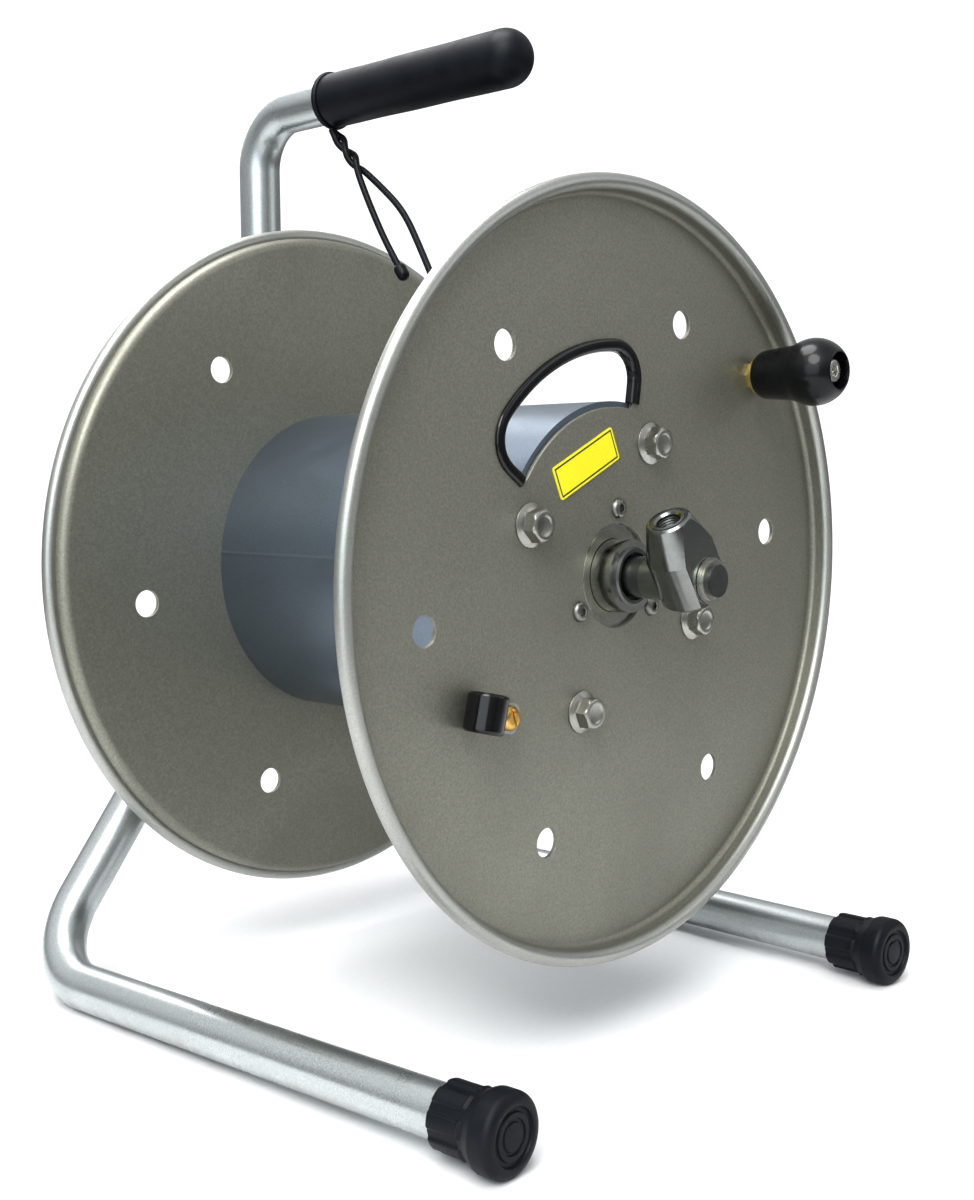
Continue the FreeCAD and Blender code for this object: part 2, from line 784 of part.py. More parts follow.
# ---- swivel -------------------------------------------------------------------------------------
def swivel_stem():
    """The fixed stem in the axle's mouth, with the journal that the swivel body turns on."""
    shoulder = -neck_face + fit_gap
    body = joined([
        rod(stem_dia, shoulder, stem_thread_length - axle_front_reach),
        rod(journal_dia, -journal_end, shoulder + past),
    ])
    ring_near = swivel_flat + fit_gap + washer_thick
    return body.cut([
        rod(water_bore, -port_axis - water_bore / 2, stem_thread_length),
        Part.makeCylinder(water_bore / 2, 2 * journal_dia, V(0, -port_axis, -journal_dia), UP),
        pipe(journal_dia + past, journal_dia - 2 * ring_groove, -ring_near - ring_thick, -ring_near),
    ])


def at_port(shape):
    """Turn a piece built standing on the axle into line with the port."""
    shape.rotate(AXLE, ALONG, -port_turn)
    shape.translate(V(0, -port_axis, 0))
    return shape


def swivel_body():
    """The elbow that turns with the hose: a coned barrel with the port on top and a flat front."""
    barrel = barrel_dia / 2
    face = port_face_dia / 2
    groove = port_groove_dia / 2
    barrel_side = turned(
        (0, -barrel_bottom),
        (barrel - barrel_chamfer, -barrel_bottom),
        (barrel, barrel_chamfer - barrel_bottom),
        (barrel, barrel_top),
        (face, port_reach - port_edge),
        (face - port_edge, port_reach),
        (groove, port_reach),
        (groove, port_reach - port_groove_depth),
        (groove - port_groove_width, port_reach - port_groove_depth),
        (groove - port_groove_width, port_reach),
        (0, port_reach),
    )
    barrel_side.rotate(AXLE, V(1, 0, 0), 90)
    flare = (port_mouth_dia - port_bore) / 2
    ways = [
        Part.makeCone(port_bore / 2, port_mouth_dia / 2, flare, V(0, 0, port_reach - flare), UP),
        Part.makeCylinder(port_bore / 2, port_bore_depth, V(0, 0, port_reach - port_bore_depth), UP),
        Part.makeCylinder(port_drilling / 2, port_reach, AXLE, UP),
    ]
    cuts = [at_port(way) for way in ways]
    cuts.append(rod(4 * barrel_dia, -swivel_flat - 4 * barrel_dia, -swivel_flat))
    cuts.append(rod(journal_dia + 2 * fit_gap, -swivel_flat - past, past - neck_face))
    cuts += [rod(journal_dia + 2 * seal_section, y, y + seal_section) for y in seal_grooves()]
    return joined([at_port(barrel_side), rod(neck_dia, -swivel_flat, -neck_face)]).cut(cuts)


def seal_grooves():
    """Where the two seal grooves start, one each side of the port's drilling."""
    front = -port_axis - port_drilling / 2 - seal_front_land - seal_section
    return (front, -port_axis + port_drilling / 2 + seal_rear_land)


def swivel_seals():
    """The two O-rings in the body's grooves, round the journal."""
    section = seal_section / 2 - seal_squeeze
    radius = journal_dia / 2 + seal_section / 2 + seal_squeeze
    return group([Part.makeTorus(radius, section, V(0, y + seal_section / 2, 0), ALONG)
                  for y in seal_grooves()])


def thrust_washer():
    """The washer between the body's flat face and the retaining ring."""
    near = swivel_flat + fit_gap
    return pipe(washer_dia, journal_dia, -near - washer_thick, -near)


def retaining_ring():
    """The open spring ring in the journal's groove."""
    near = swivel_flat + fit_gap + washer_thick
    ring = pipe(journal_dia + 2 * ring_reach, journal_dia - 2 * ring_groove, -near - ring_thick, -near)
    gap = Part.makeBox(ring_opening, 3 * ring_thick, journal_dia)
    gap.translate(V(-ring_opening / 2, -near - 2 * ring_thick, -journal_dia))
    return ring.cut(gap)


# ---- pieces on the front flange -----------------------------------------------------------------
def slot_trim(plate):
    """Rubber edging pressed on the slot's outer edge and ends."""
    y0 = recess - trim_wall
    y1 = disc_back + trim_wall
    outside = grown_sector(trim_cover, y0, y1)
    inside = grown_sector(-trim_inside, y0 - past, y1 + past)
    floor = rod(drum_dia + 2 * trim_foot, y0 - past, y1 + past)
    return outside.cut([inside, floor]).cut(plate)


def label_plate():
    """A blank plate stuck on the disc above the hub."""
    plate = Part.makeBox(label_length, label_thick, label_width,
                         V(-label_length / 2, recess - label_thick, -label_width / 2))
    upright = [e for e in plate.Edges if abs(e.Length - label_thick) < 1e-6]
    plate = plate.makeFillet(label_corner, upright)
    plate.rotate(AXLE, ALONG, -label_turn)
    plate.translate(V(label_x, 0, label_z))
    return plate


def clip_place(shape):
    """Turn a clip piece built with its loop left of its screw, and put the screw on its hole."""
    shape.rotate(AXLE, ALONG, -clip_turn)
    shape.translate(V(clip_screw_x, 0, clip_screw_z))
    return shape


def clip_bar(diameter, width):
    """A bar along the loop's own axis, in the clip's own frame."""
    centre_y = recess - clip_loop_dia / 2
    return Part.makeCylinder(diameter / 2, width, V(-clip_screw_offset, centre_y, -width / 2), UP)


def clip_seat():
    """Where the screw's head sits: on both layers of the strap."""
    return recess - clip_lap - 2 * clip_strap


def clip_strap_piece():
    """The steel strap round the cushion, with the tab that the screw holds down."""
    over = clip_loop_dia - 2 * clip_lap
    inside = clip_bar(over - 2 * clip_strap, clip_width + past)
    tab = Part.makeBox(clip_screw_offset + clip_tab_width / 2, 2 * clip_strap, clip_tab_width)
    tab.translate(V(-clip_screw_offset, clip_seat(), -clip_tab_width / 2))
    upright = [e for e in tab.Edges if abs(e.Length - 2 * clip_strap) < 1e-6]
    ends = [e for e in upright if e.Vertexes[0].X > 0]
    tab = tab.makeFillet(clip_tab_corner, ends)
    spacer = rod(clip_spacer_dia, recess - clip_lap, recess)
    whole = joined([clip_bar(over, clip_tab_width), tab, spacer])
    return clip_place(whole.cut([inside, rod(clip_screw_dia + screw_hole_gap, 0, disc_back)]))


def clip_cushion_piece(strap):
    """The vinyl cushion that wraps the strap's loop inside and out."""
    hose = clip_loop_dia - 2 * (clip_lap + clip_strap + clip_cushion)
    wrap = clip_bar(clip_loop_dia, clip_width).cut(clip_bar(hose, clip_width + past))
    return clip_place(wrap).cut(strap)


def clip_screw():
    """The pan-head brass screw through the clip's tab and the disc."""
    seat = clip_seat()
    top = seat - clip_head
    edge = (clip_head_dia / 2, seat - clip_head_edge)
    crown = (clip_head_top_dia / 2, top)
    head = turned(
        (0, seat),
        (clip_head_dia / 2, seat),
        edge,
        (bulge(edge, crown, clip_head_rise), crown),
        (0, top),
    )
    slot = Part.makeBox(clip_slot_width, past + clip_slot_depth, 2 * clip_head_dia)
    slot.translate(V(-clip_slot_width / 2, top - past, -clip_head_dia))
    slot.rotate(AXLE, ALONG, clip_slot_turn)
    shank = rod(clip_screw_dia, top + clip_slot_depth, disc_back + clip_screw_end)
    return clip_place(joined([head.cut(slot), shank]))


def clip_nut():
    """The nut behind the disc on the clip's screw."""
    nut = hexagon(clip_nut_flats, disc_back, disc_back + clip_nut_thick)
    return clip_place(nut.cut(rod(clip_screw_dia, 0, disc_back + 2 * clip_nut_thick)))


def knob_bolt():
    """The long socket-head bolt that the knob turns on, through the disc."""
    seat = knob_recess - knob_end
    top = seat - knob_head
    head = turned(
        (0, seat),
        (knob_head_dia / 2, seat),
        (knob_head_dia / 2, top + knob_head_edge),
        (knob_head_dia / 2 - knob_head_edge, top),
        (0, top),
    )
    head = head.cut(hexagon(knob_socket, top - past, top + knob_socket_depth))
    end = disc_back + lock_nut_thick + knob_bolt_end
    bolt = joined([head, rod(knob_bolt_dia, top + knob_socket_depth, end)])
    bolt.translate(V(knob_x, 0, knob_z))
    return bolt


def jam_washer():
    """The yellow-plated washer between knob and nut."""
    near = recess - jam_nut_thick
    washer = pipe(jam_washer_dia, knob_bolt_dia, near - jam_washer_thick, near)
    washer.translate(V(knob_x, 0, knob_z))
    return washer


def jam_nut():
    """The yellow-plated nut against the front of the disc."""
    nut = hexagon(jam_nut_flats, recess - jam_nut_thick, recess).cut(
        rod(knob_bolt_dia, 0, recess + past))
    nut.translate(V(knob_x, 0, knob_z))
    return nut


def lock_nut():
    """The nut behind the disc on the knob's bolt."""
    nut = hexagon(jam_nut_flats, disc_back, disc_back + lock_nut_thick).cut(
        rod(knob_bolt_dia, 0, disc_back + 2 * lock_nut_thick))
    nut.translate(V(knob_x, 0, knob_z))
    return nut


def crank_knob():
    """The plastic knob: a small foot, a near-straight neck and a round bulb with a recessed end."""
    foot_y = recess - jam_nut_thick - jam_washer_thick - fit_gap
    foot = knob_foot_dia / 2
    neck = knob_neck_dia / 2
    waist = knob_waist_dia / 2
    bulb = knob_bulb_dia / 2
    bulb_y = -knob_bulb_y
    join_angle = math.asin(waist / bulb)
    join_y = bulb_y + bulb * math.cos(join_angle)
    end_y = -knob_end
    end_r = math.sqrt(bulb ** 2 - (end_y - bulb_y) ** 2)
    shoulder = (neck, foot_y - knob_shoulder)
    blank = turned(
        (0, foot_y),
        (foot, foot_y),
        (bulge((foot, foot_y), shoulder, knob_shoulder_rise), shoulder),
        (waist, join_y),
        ((bulb, bulb_y), (end_r, end_y)),
        (0, end_y),
    )
    blank = blank.cut([
        rod(knob_recess_dia, end_y - past, end_y + knob_recess + fit_gap),
        rod(knob_bolt_dia + 2 * fit_gap, end_y, foot_y + past),
    ])
    blank.translate(V(knob_x, 0, knob_z))
    return blank


# ---- hose tie -----------------------------------------------------------------------------------
def tie_loop():
    """The tie's turn round the handle tube."""
    radius = tube_dia / 2 + tie_gap + tie_dia / 2
    return on_handle(Part.makeTorus(radius, tie_dia / 2, AXLE, ALONG), tie_plane)


def twist(phase):
    """A strand's points in the twist, which starts phase degrees round from +X."""
    axis = twist_foot - twist_top
    side = V(1, 0, 0)
    up = axis.cross(side).normalize()
    points = []
    for k in range(twist_steps + 1):
        angle = math.radians(phase + 360 * k / twist_steps)
        centre = twist_top + axis * (k / twist_steps)
        points.append(centre + (side * math.cos(angle) + up * math.sin(angle)) * twist_radius)
    return points


def strand_route(leave, phase, leg):
    """A strand's corner points: out of the loop, round the other strand, then down its own leg."""
    return [leave] + twist(phase) + leg


def strand(name, route):
    """A strand's tube, its arcs as large as the runs allow, with its radii and length printed."""
    bends = []
    for k in range(1, len(route) - 1):
        before = route[k] - route[k - 1]
        after = route[k + 1] - route[k]
        shorter = min(before.Length, after.Length)
        bends.append(0.45 * shorter / math.tan(before.getAngle(after) / 2))
    path = bent_path(route, bends)
    tube = swept(path, tie_dia)
    expected = math.pi * tie_dia ** 2 / 4 * path.Length
    print(name, "length", round(path.Length, 1), "volume ratio", round(tube.Volume / expected, 4),
          "radii", [round(b, 1) for b in bends])
    return tube


def tie_tip(route):
    """The moulded tip on a strand's end, round at both ends."""
    heading = (route[-1] - route[-2]).normalize()
    radius = tie_tip_dia / 2
    slant = radius * math.sqrt(0.5)
    top = tie_tip_length - radius
    blank = turned(
        (0, 0),
        ((slant, radius - slant), (radius, radius)),
        (radius, top),
        ((slant, top + slant), (0, tie_tip_length)),
    )
    blank = blank.cut(rod(tie_dia, -past, tip_reach))
    blank.Placement = FreeCAD.Placement(route[-1] - heading * tip_reach, FreeCAD.Rotation(ALONG, heading))
    return blank


# ---- write every piece --------------------------------------------------------------------------
plate = front_flange()
save("front_flange", plate)
save("rear_flange", to_rear(flange()))
save("drum_shell", drum_shell())

twins = {
    "end_ring": end_ring(),
    "flange_bolts": bolt_set(),
    "weld_nuts": weld_nuts(),
    "bearing_housing": bearing_housing(),
    "bearing_outer_ring": outer_ring(),
    "bearing_inner_ring": inner_ring(),
    "bearing_balls": balls(),
    "bearing_cage": cage(),
    "bearing_seals": bearing_seals(),
    "set_screws": group(set_screw_places(socket=True)),
    "hub_screws": hub_screws(),
}
for name, piece in twins.items():
    save("front_" + name, piece)
    save("rear_" + name, to_rear(piece))

save("axle", axle())
save("axle_boss", axle_boss())
save("handle_tube", handle_tube())
save("left_leg_tube", leg_tube(-1))
save("right_leg_tube", leg_tube(1))
save("handle_grip", grip())
save("left_foot_cap", foot_cap(-1))
save("right_foot_cap", foot_cap(1))
save("inlet_adapter", inlet())

save("swivel_stem", swivel_stem())
save("swivel_body", swivel_body())
save("swivel_seals", swivel_seals())
save("swivel_thrust_washer", thrust_washer())
save("swivel_retaining_ring", retaining_ring())

save("hose_slot_trim", slot_trim(plate))
save("label_plate", label_plate())
strap = clip_strap_piece()
save("hose_clip_strap", strap)
save("hose_clip_cushion", clip_cushion_piece(strap))
save("hose_clip_screw", clip_screw())
save("hose_clip_nut", clip_nut())

save("crank_knob", crank_knob())
save("knob_bolt", knob_bolt())
save("knob_jam_washer", jam_washer())
save("knob_jam_nut", jam_nut())
save("knob_lock_nut", lock_nut())

save("tie_loop", tie_loop())
for name, leave, phase, leg in (("short", short_exit, 180, short_leg), ("long", long_exit, 0, long_leg)):
    route = strand_route(leave, phase, leg)
    save("tie_strand_" + name, strand(name, route))
    save("tie_tip_" + name, tie_tip(route))
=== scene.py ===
"""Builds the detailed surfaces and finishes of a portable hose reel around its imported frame.

Frame: metres, +Z up, the floor at z = 0, the axle along Y, the crank side facing -Y.
"""

import json
import math

import bmesh
import bpy
import numpy as np
from bpy.props import FloatProperty, FloatVectorProperty, IntProperty, PointerProperty
from mathutils import Matrix, Vector
from mathutils.geometry import tessellate_polygon


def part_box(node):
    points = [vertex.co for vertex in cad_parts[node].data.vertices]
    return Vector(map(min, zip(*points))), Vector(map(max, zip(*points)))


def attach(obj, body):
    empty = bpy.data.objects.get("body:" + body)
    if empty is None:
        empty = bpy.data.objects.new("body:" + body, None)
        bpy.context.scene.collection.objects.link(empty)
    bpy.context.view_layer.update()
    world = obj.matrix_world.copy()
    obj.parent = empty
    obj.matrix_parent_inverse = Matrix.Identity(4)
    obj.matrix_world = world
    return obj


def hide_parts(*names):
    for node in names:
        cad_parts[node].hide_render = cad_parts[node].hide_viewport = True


bl_info = {
    "name": "Hose Reel",
    "version": (1, 0, 0),
    "blender": (4, 5, 0),
    "location": "3D View > Sidebar > Hose Reel",
    "description": "Surfaces, finishes and stage of a portable hose reel",
    "category": "Object",
}

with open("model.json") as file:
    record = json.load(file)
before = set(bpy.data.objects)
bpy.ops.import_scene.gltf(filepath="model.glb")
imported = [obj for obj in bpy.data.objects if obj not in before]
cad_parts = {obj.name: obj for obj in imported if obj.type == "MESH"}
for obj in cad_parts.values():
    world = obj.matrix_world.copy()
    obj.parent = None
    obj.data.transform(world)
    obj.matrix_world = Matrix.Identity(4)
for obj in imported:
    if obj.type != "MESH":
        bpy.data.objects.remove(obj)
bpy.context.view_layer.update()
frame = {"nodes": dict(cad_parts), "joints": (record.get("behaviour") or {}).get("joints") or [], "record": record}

MM = 0.001
JOINTS = {joint["name"]: joint for joint in frame["joints"]}
FRONT_LOW, FRONT_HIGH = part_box("front_flange")
REAR_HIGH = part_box("rear_flange")[1]
AXLE_Z = JOINTS["drum_spin"]["pos_m"][2]
RIM_RADIUS = (FRONT_HIGH.x - FRONT_LOW.x) / 2
MIDDLE_Y = (FRONT_LOW.y + REAR_HIGH.y) / 2
OUT = (0.0, -1.0, 0.0)  # the way the front pieces face
DOUBLES = 2e-6  # points nearer to each other than this are one point
ROUND = 1.0  # flats so far apart that they cut nothing from a row


# ---- properties ---------------------------------------------------------------------------------
def length(name, description, default):
    """A property for a length, given in millimetres and kept in metres."""
    return FloatProperty(name=name, description=description, default=default * MM, unit="LENGTH",
                         precision=5)


def turn(name, description, default):
    """A property for an angle, given in degrees."""
    return FloatProperty(name=name, description=description, default=math.radians(default),
                         unit="ROTATION", subtype="ANGLE")


def colour(name, description, default):
    """A property for a linear colour."""
    return FloatVectorProperty(name=name, description=description, default=default, size=3,
                               subtype="COLOR", min=0.0, max=1.0)


class ReelFlanges(bpy.types.PropertyGroup):
    """The two rimmed discs and the hose slot."""
    bead: length("Bead", "Diameter of the rolled edge", 8.0)
    sheet: length("Sheet", "Thickness of the disc", 2.5)
    recess: length("Recess", "From the bead's middle to the disc's outer face", 7.0)
    corner: length("Corner", "Inside radius between disc and lip", 3.0)
    hub_hole: length("Hub hole", "Diameter of the hole at the hub", 54.0)
    hole: length("Hole", "Diameter of the round holes near the rim", 15.0)
    hole_circle: length("Hole circle", "Diameter of the circle the holes lie on", 283.4)
    hole_count: IntProperty(name="Holes", description="How many holes each disc has", default=6)
    hole_phase: turn("Hole phase", "Angle of the first hole from +X", 7.0)
    break_edge: length("Edge break", "Radius on the edges of the holes", 0.45)
    slot_foot: length("Slot foot", "Radius of the slot's lower edge about the axle", 86.0)
    slot_top: length("Slot top", "Radius of the slot's upper edge about the axle", 116.3)
    slot_start: turn("Slot start", "Angle at the slot's right end", 81.6)
    slot_end: turn("Slot end", "Angle at the slot's left end", 145.7)
    slot_corner: length("Slot corner", "Radius of the slot's outer corners", 17.0)
    slot_foot_corner: length("Slot foot corner", "Radius of the slot's inner corners", 3.0)
    trim_cover: length("Trim cover", "How far the edging laps over the disc", 4.0)
    trim_inside: length("Trim inside", "How far the edging stands into the slot", 2.6)
    trim_wall: length("Trim wall", "Thickness of the edging over the disc", 2.0)
    trim_round: length("Trim round", "Radius on the edging's outer corners", 2.7)
    trim_foot: length("Trim foot", "Radius about the axle where the edging ends", 88.5)


class ReelDrum(bpy.types.PropertyGroup):
    """The rolled shell between the discs."""
    diameter: length("Diameter", "Outside diameter of the shell", 178.0)
    wall: length("Wall", "Thickness of the shell", 2.0)
    seam_angle: turn("Seam angle", "Angle of the welded seam from +X", 174.5)
    seam_height: length("Seam height", "Height of the seam's bead", 0.28)
    seam_width: length("Seam width", "Half width of the seam's bead", 0.9)
    seam_pitch: length("Seam pitch", "Distance between the seam's ripples", 2.2)


class ReelFasteners(bpy.types.PropertyGroup):
    """The flange bolts and hub screws."""
    bolt_flats: length("Bolt flats", "Width across the bolt's flats", 15.0)
    bolt_flange: length("Bolt flange", "Diameter of the flange under the bolt's head", 22.0)
    bolt_head: length("Bolt head", "Height of the bolt's head with its flange", 9.5)
    bolt_shank: length("Bolt shank", "Diameter of the bolt's shank", 10.0)
    bolt_reach: length("Bolt reach", "Length of the bolt under its head", 20.0)
    bolt_clearance: length("Bolt clearance", "How much wider the bolt holes are than the shank", 0.5)
    bolt_circle: length("Bolt circle", "Diameter of the circle the bolts lie on", 146.6)
    bolt_count: IntProperty(name="Bolts", description="How many bolts each disc has", default=4)
    bolt_phase: turn("Bolt phase", "Angle of the first bolt from +X", 67.4)
    screw_head: length("Screw head", "Diameter of the hub screw's button head", 10.5)
    screw_height: length("Screw height", "Height of the button head", 2.8)
    screw_socket: length("Screw socket", "Width across the socket's flats", 4.0)
    screw_shank: length("Screw shank", "Diameter of the hub screw", 6.0)
    screw_reach: length("Screw reach", "Length of the hub screw under its head", 7.5)
    screw_clearance: length("Screw clearance", "How much wider the screw holes are than the shank", 0.4)
    screw_circle: length("Screw circle", "Diameter of the circle the hub screws lie on", 69.0)
    screw_count: IntProperty(name="Screws", description="How many hub screws each disc has", default=3)
    screw_phase: turn("Screw phase", "Angle of the first hub screw from +X", 88.6)


class ReelSwivel(bpy.types.PropertyGroup):
    """The port of the swivel."""
    port_turn: turn("Port turn", "Angle of the port from straight up, towards -X", 33.0)
    port_reach: length("Port reach", "From the axle's centre to the port's face", 36.0)
    port_bore: length("Port bore", "Diameter of the tapped bore", 12.0)
    thread_pitch: length("Thread pitch", "Distance between thread crests", 1.34)
    thread_depth: length("Thread depth", "Depth of the thread in the port", 0.55)
    thread_start: length("Thread start", "Where the thread starts below the port's face", 2.0)
    thread_length: length("Thread length", "How deep the thread is seen in the port", 16.0)
    thread_wall: length("Thread wall", "Thickness of the thread's lining", 0.3)


class ReelKnob(bpy.types.PropertyGroup):
    """The crank knob and its bolt."""
    foot: length("Foot", "Diameter of the knob's foot", 21.0)
    neck: length("Neck", "Diameter of the neck above the foot", 27.5)
    waist: length("Waist", "Diameter of the neck below the bulb", 31.0)
    bulb: length("Bulb", "Diameter of the bulb", 36.8)
    bulb_height: length("Bulb height", "Bulb's centre in front of the rim plane", 33.0)
    end: length("End", "End face in front of the rim plane", 48.0)
    foot_height: length("Foot height", "Foot's face, from the rim plane", -1.1)
    shoulder: length("Shoulder", "Length of the rounded shoulder at the foot", 6.5)
    recess: length("Recess", "Diameter of the recess in the end", 20.0)
    recess_depth: length("Recess depth", "Depth of the recess", 11.3)
    bore: length("Bore", "Diameter of the running bore", 8.6)
    blend: length("Blend", "Softness of the hollow between neck and bulb", 0.7)
    bolt: length("Bolt", "Diameter of the knob's bolt", 8.0)
    bolt_head: length("Bolt head", "Diameter of the bolt's socket head", 13.0)
    bolt_head_height: length("Bolt head height", "Height of the bolt's head", 8.0)
    bolt_reach: length("Bolt reach", "Bolt's end behind the rim plane", 19.5)
    bolt_clearance: length("Bolt clearance", "How much wider the bolt's hole is than the bolt", 0.4)
    bolt_socket: length("Bolt socket", "Width across the bolt's socket", 6.0)


class ReelClip(bpy.types.PropertyGroup):
    """The cushioned hose clip."""
    screw_x: length("Screw X", "Clip screw, right of the axle", -87.5)
    screw_z: length("Screw Z", "Clip screw, above the axle", -63.0)
    turned: turn("Turned", "Direction from the loop to the screw", -14.0)
    offset: length("Offset", "From the screw to the loop's middle", 24.0)
    loop: length("Loop", "Outside diameter of the cushion", 20.0)
    bore: length("Bore", "Bore of the cushion", 12.0)
    width: length("Width", "Width of the cushion", 19.0)
    edge: length("Edge", "Radius on the cushion's outer edges", 1.8)
    bore_edge: length("Bore edge", "Radius on the edges of the bore", 1.4)
    swell: length("Swell", "How far the dipped coat swells between its edges", 0.25)
    hole: length("Hole", "Diameter of the clip screw's hole in the disc", 6.4)


class ReelLabel(bpy.types.PropertyGroup):
    """The blank label under the hose slot."""
    slope: turn("Slope", "How far the label is turned about the axle", 24.3)
    long: length("Length", "Length of the label", 50.5)
    wide: length("Width", "Width of the label", 17.5)
    border: length("Border", "From the label's edge to the middle of its border line", 1.5)
    line: length("Line", "Half the border line's width", 0.45)


class ReelStand(bpy.types.PropertyGroup):
    """The bent-tube stand, its grip and its foot caps."""
    tube: length("Tube", "Outside diameter of the tube", 25.4)
    boss: length("Boss", "Diameter of the boss at the axle", 44.0)
    boss_front: length("Boss front", "Boss's front face behind the front rim plane", 264.0)
    boss_rear: length("Boss rear", "Boss's rear face behind the front rim plane", 308.0)
    upright: length("Upright", "Plane of the upright behind the front rim plane", 291.0)
    legs: length("Legs", "Plane of the legs behind the front rim plane", 281.0)
    axle: length("Axle", "Diameter of the axle", 30.0)
    weld: length("Weld", "Radius of the weld beads", 2.2)
    legs_meet: length("Legs meet", "Where the legs' middle lines meet, above the axle", 7.0)
    handle_height: length("Handle height", "Handle's rear corner above the axle", 276.4)
    handle_drop: length("Handle drop", "How much lower the handle's front end is", 3.9)
    handle_front: length("Handle front", "Handle tube's front end behind the rim plane", 84.0)
    grip: length("Grip", "Outside diameter of the grip", 30.8)
    grip_front: length("Grip front", "Centre of the grip's round end behind the rim plane", 82.4)
    grip_rear: length("Grip rear", "Grip's open end behind the rim plane", 218.4)
    rail_front_x: length("Rail front X", "Rail's front end, from the middle", 164.2)
    rail_front: length("Rail front", "Rail's front end, in front of the rim plane", 63.5)
    rail_corner_x: length("Rail corner X", "Rail's rear corner, from the middle", 184.0)
    cap_height: length("Cap height", "Rail's front end below the axle", 222.88)
    corner_height: length("Corner height", "Rail's rear corner below the axle", 230.12)
    cap: length("Cap", "Diameter of the foot cap's bell", 38.0)
    cap_neck: length("Cap neck", "Diameter of the sleeve at the bell", 31.6)
    cap_sleeve: length("Cap sleeve", "Diameter of the sleeve between its ribs", 29.2)
    cap_length: length("Cap length", "Length of the foot cap", 37.0)
    cap_end: length("Cap end", "Thickness of the cap in front of the tube", 3.6)
    cap_ribs: IntProperty(name="Cap ribs", description="How many ribs the sleeve has", default=8)
    cap_rib: length("Cap rib", "Height of the ribs", 1.5)
    inlet_flats: length("Inlet flats", "Width across the inlet's flats", 27.0)
    inlet_hex: length("Inlet hexagon", "Length of the inlet's hexagon", 10.0)
    inlet_thread: length("Inlet thread", "Outside diameter of the inlet's thread", 20.6)
    inlet_thread_length: length("Inlet thread length", "Length of the inlet's thread", 14.0)
    inlet_bore: length("Inlet bore", "Bore of the inlet", 9.0)
    inlet_pitch: length("Inlet pitch", "Distance between the inlet's thread crests", 1.81)
    inlet_depth: length("Inlet depth", "Depth of the inlet's thread", 0.95)


class ReelTie(bpy.types.PropertyGroup):
    """The hose tie that hangs from the handle."""
    diameter: length("Diameter", "Diameter of the tie's cord", 3.9)
    twist_radius: length("Twist radius", "How far each strand runs from the twist's middle", 2.2)
    twist_steps: IntProperty(name="Twist steps", description="Points in the twist's one turn", default=8)


class ReelColours(bpy.types.PropertyGroup):
    """The colours of the finishes."""
    sheet: colour("Flange sheet", "Satin metallic paint on the discs", (0.215, 0.213, 0.178))
    # The rolled edge is the disc's own paint. Its lighter tone is a painted highlight of its curve, and its edges
    # get rubbed wear.
    bead: colour("Rim bead", "Rolled edge, painted brighter for its highlight, and worn", (0.38, 0.385, 0.36))
    drum: colour("Drum", "Satin metallic paint on the shell", (0.18, 0.215, 0.26))
    tube: colour("Tube", "Silver paint on the stand", (0.46, 0.485, 0.49))
    zinc: colour("Zinc", "Bright zinc plate", (0.38, 0.375, 0.345))
    hub_screw: colour("Hub screw", "Plain steel of the hub screws", (0.24, 0.24, 0.225))
    knob_screw: colour("Knob screw", "Bright steel of the knob's bolt", (0.74, 0.74, 0.70))
    yellow_zinc: colour("Yellow zinc", "Yellow chromate plate", (0.58, 0.45, 0.17))
    brass: colour("Brass", "Clean brass", (0.66, 0.42, 0.13))
    steel: colour("Bearing steel", "Ground steel", (0.38, 0.385, 0.36))
    dark_steel: colour("Dark steel", "Blackened turned steel", (0.12, 0.125, 0.12))
    shield: colour("Bearing shield", "Pressed steel shields of the bearings", (0.24, 0.24, 0.205))
    polished: colour("Polished steel", "Turned and polished steel", (0.24, 0.25, 0.24))
    rubber: colour("Rubber", "Black moulded rubber", (0.004, 0.0055, 0.008))
    knob: colour("Knob", "Black moulded plastic", (0.004, 0.004, 0.005))
    vinyl: colour("Vinyl", "Black dipped vinyl", (0.003, 0.003, 0.0035))
    label: colour("Label", "Yellow film", (0.86, 0.78, 0.015))
    label_line: colour("Label line", "Border of the label", (0.03, 0.03, 0.03))
    floor: colour("Floor", "Pale sweep under the reel", (0.78, 0.785, 0.79))


class ReelStage(bpy.types.PropertyGroup):
    """Camera and lights."""
    azimuth: turn("Azimuth", "Camera's angle round the reel, 0 looking along +Y", -44.2446)
    elevation: turn("Elevation", "Camera's angle above level", 5.9089)
    roll: turn("Roll", "Camera's roll", -0.6125)
    distance: length("Distance", "From the camera to its target", 647.08)
    target_x: length("Target X", "Camera's target in the front rim plane, right of the axle", -161.36)
    target_z: length("Target Z", "Camera's target in the front rim plane, above the axle", -9.78)
    lens: FloatProperty(name="Lens", description="Focal length in millimetres", default=44.4255)
    shift_x: FloatProperty(name="Shift X", description="Lens shift sideways", default=0.07063)
    shift_y: FloatProperty(name="Shift Y", description="Lens shift upwards", default=0.01668)
    floor_radius: length("Floor radius", "Radius of the floor", 9000.0)
    fade_start: length("Fade start", "Where the floor begins to turn to plain white", 550.0)
    fade_end: length("Fade end", "Where the floor is plain white", 1500.0)
    floor_glow: FloatProperty(name="Floor glow", description="Far floor's share in reflections", default=0.25)


PROPERTY_GROUPS = {
    "reel_flanges": ReelFlanges, "reel_drum": ReelDrum, "reel_fasteners": ReelFasteners,
    "reel_swivel": ReelSwivel, "reel_knob": ReelKnob, "reel_clip": ReelClip,
    "reel_label": ReelLabel, "reel_stand": ReelStand, "reel_tie": ReelTie,
    "reel_colours": ReelColours, "reel_stage": ReelStage,
}


def settings(name):
    """One property group of the current scene."""
    return getattr(bpy.context.scene, "reel_" + name)


def rim_plane():
    """The y of the front rim's plane, through the middle of its bead."""
    return FRONT_LOW.y + settings("flanges").bead / 2


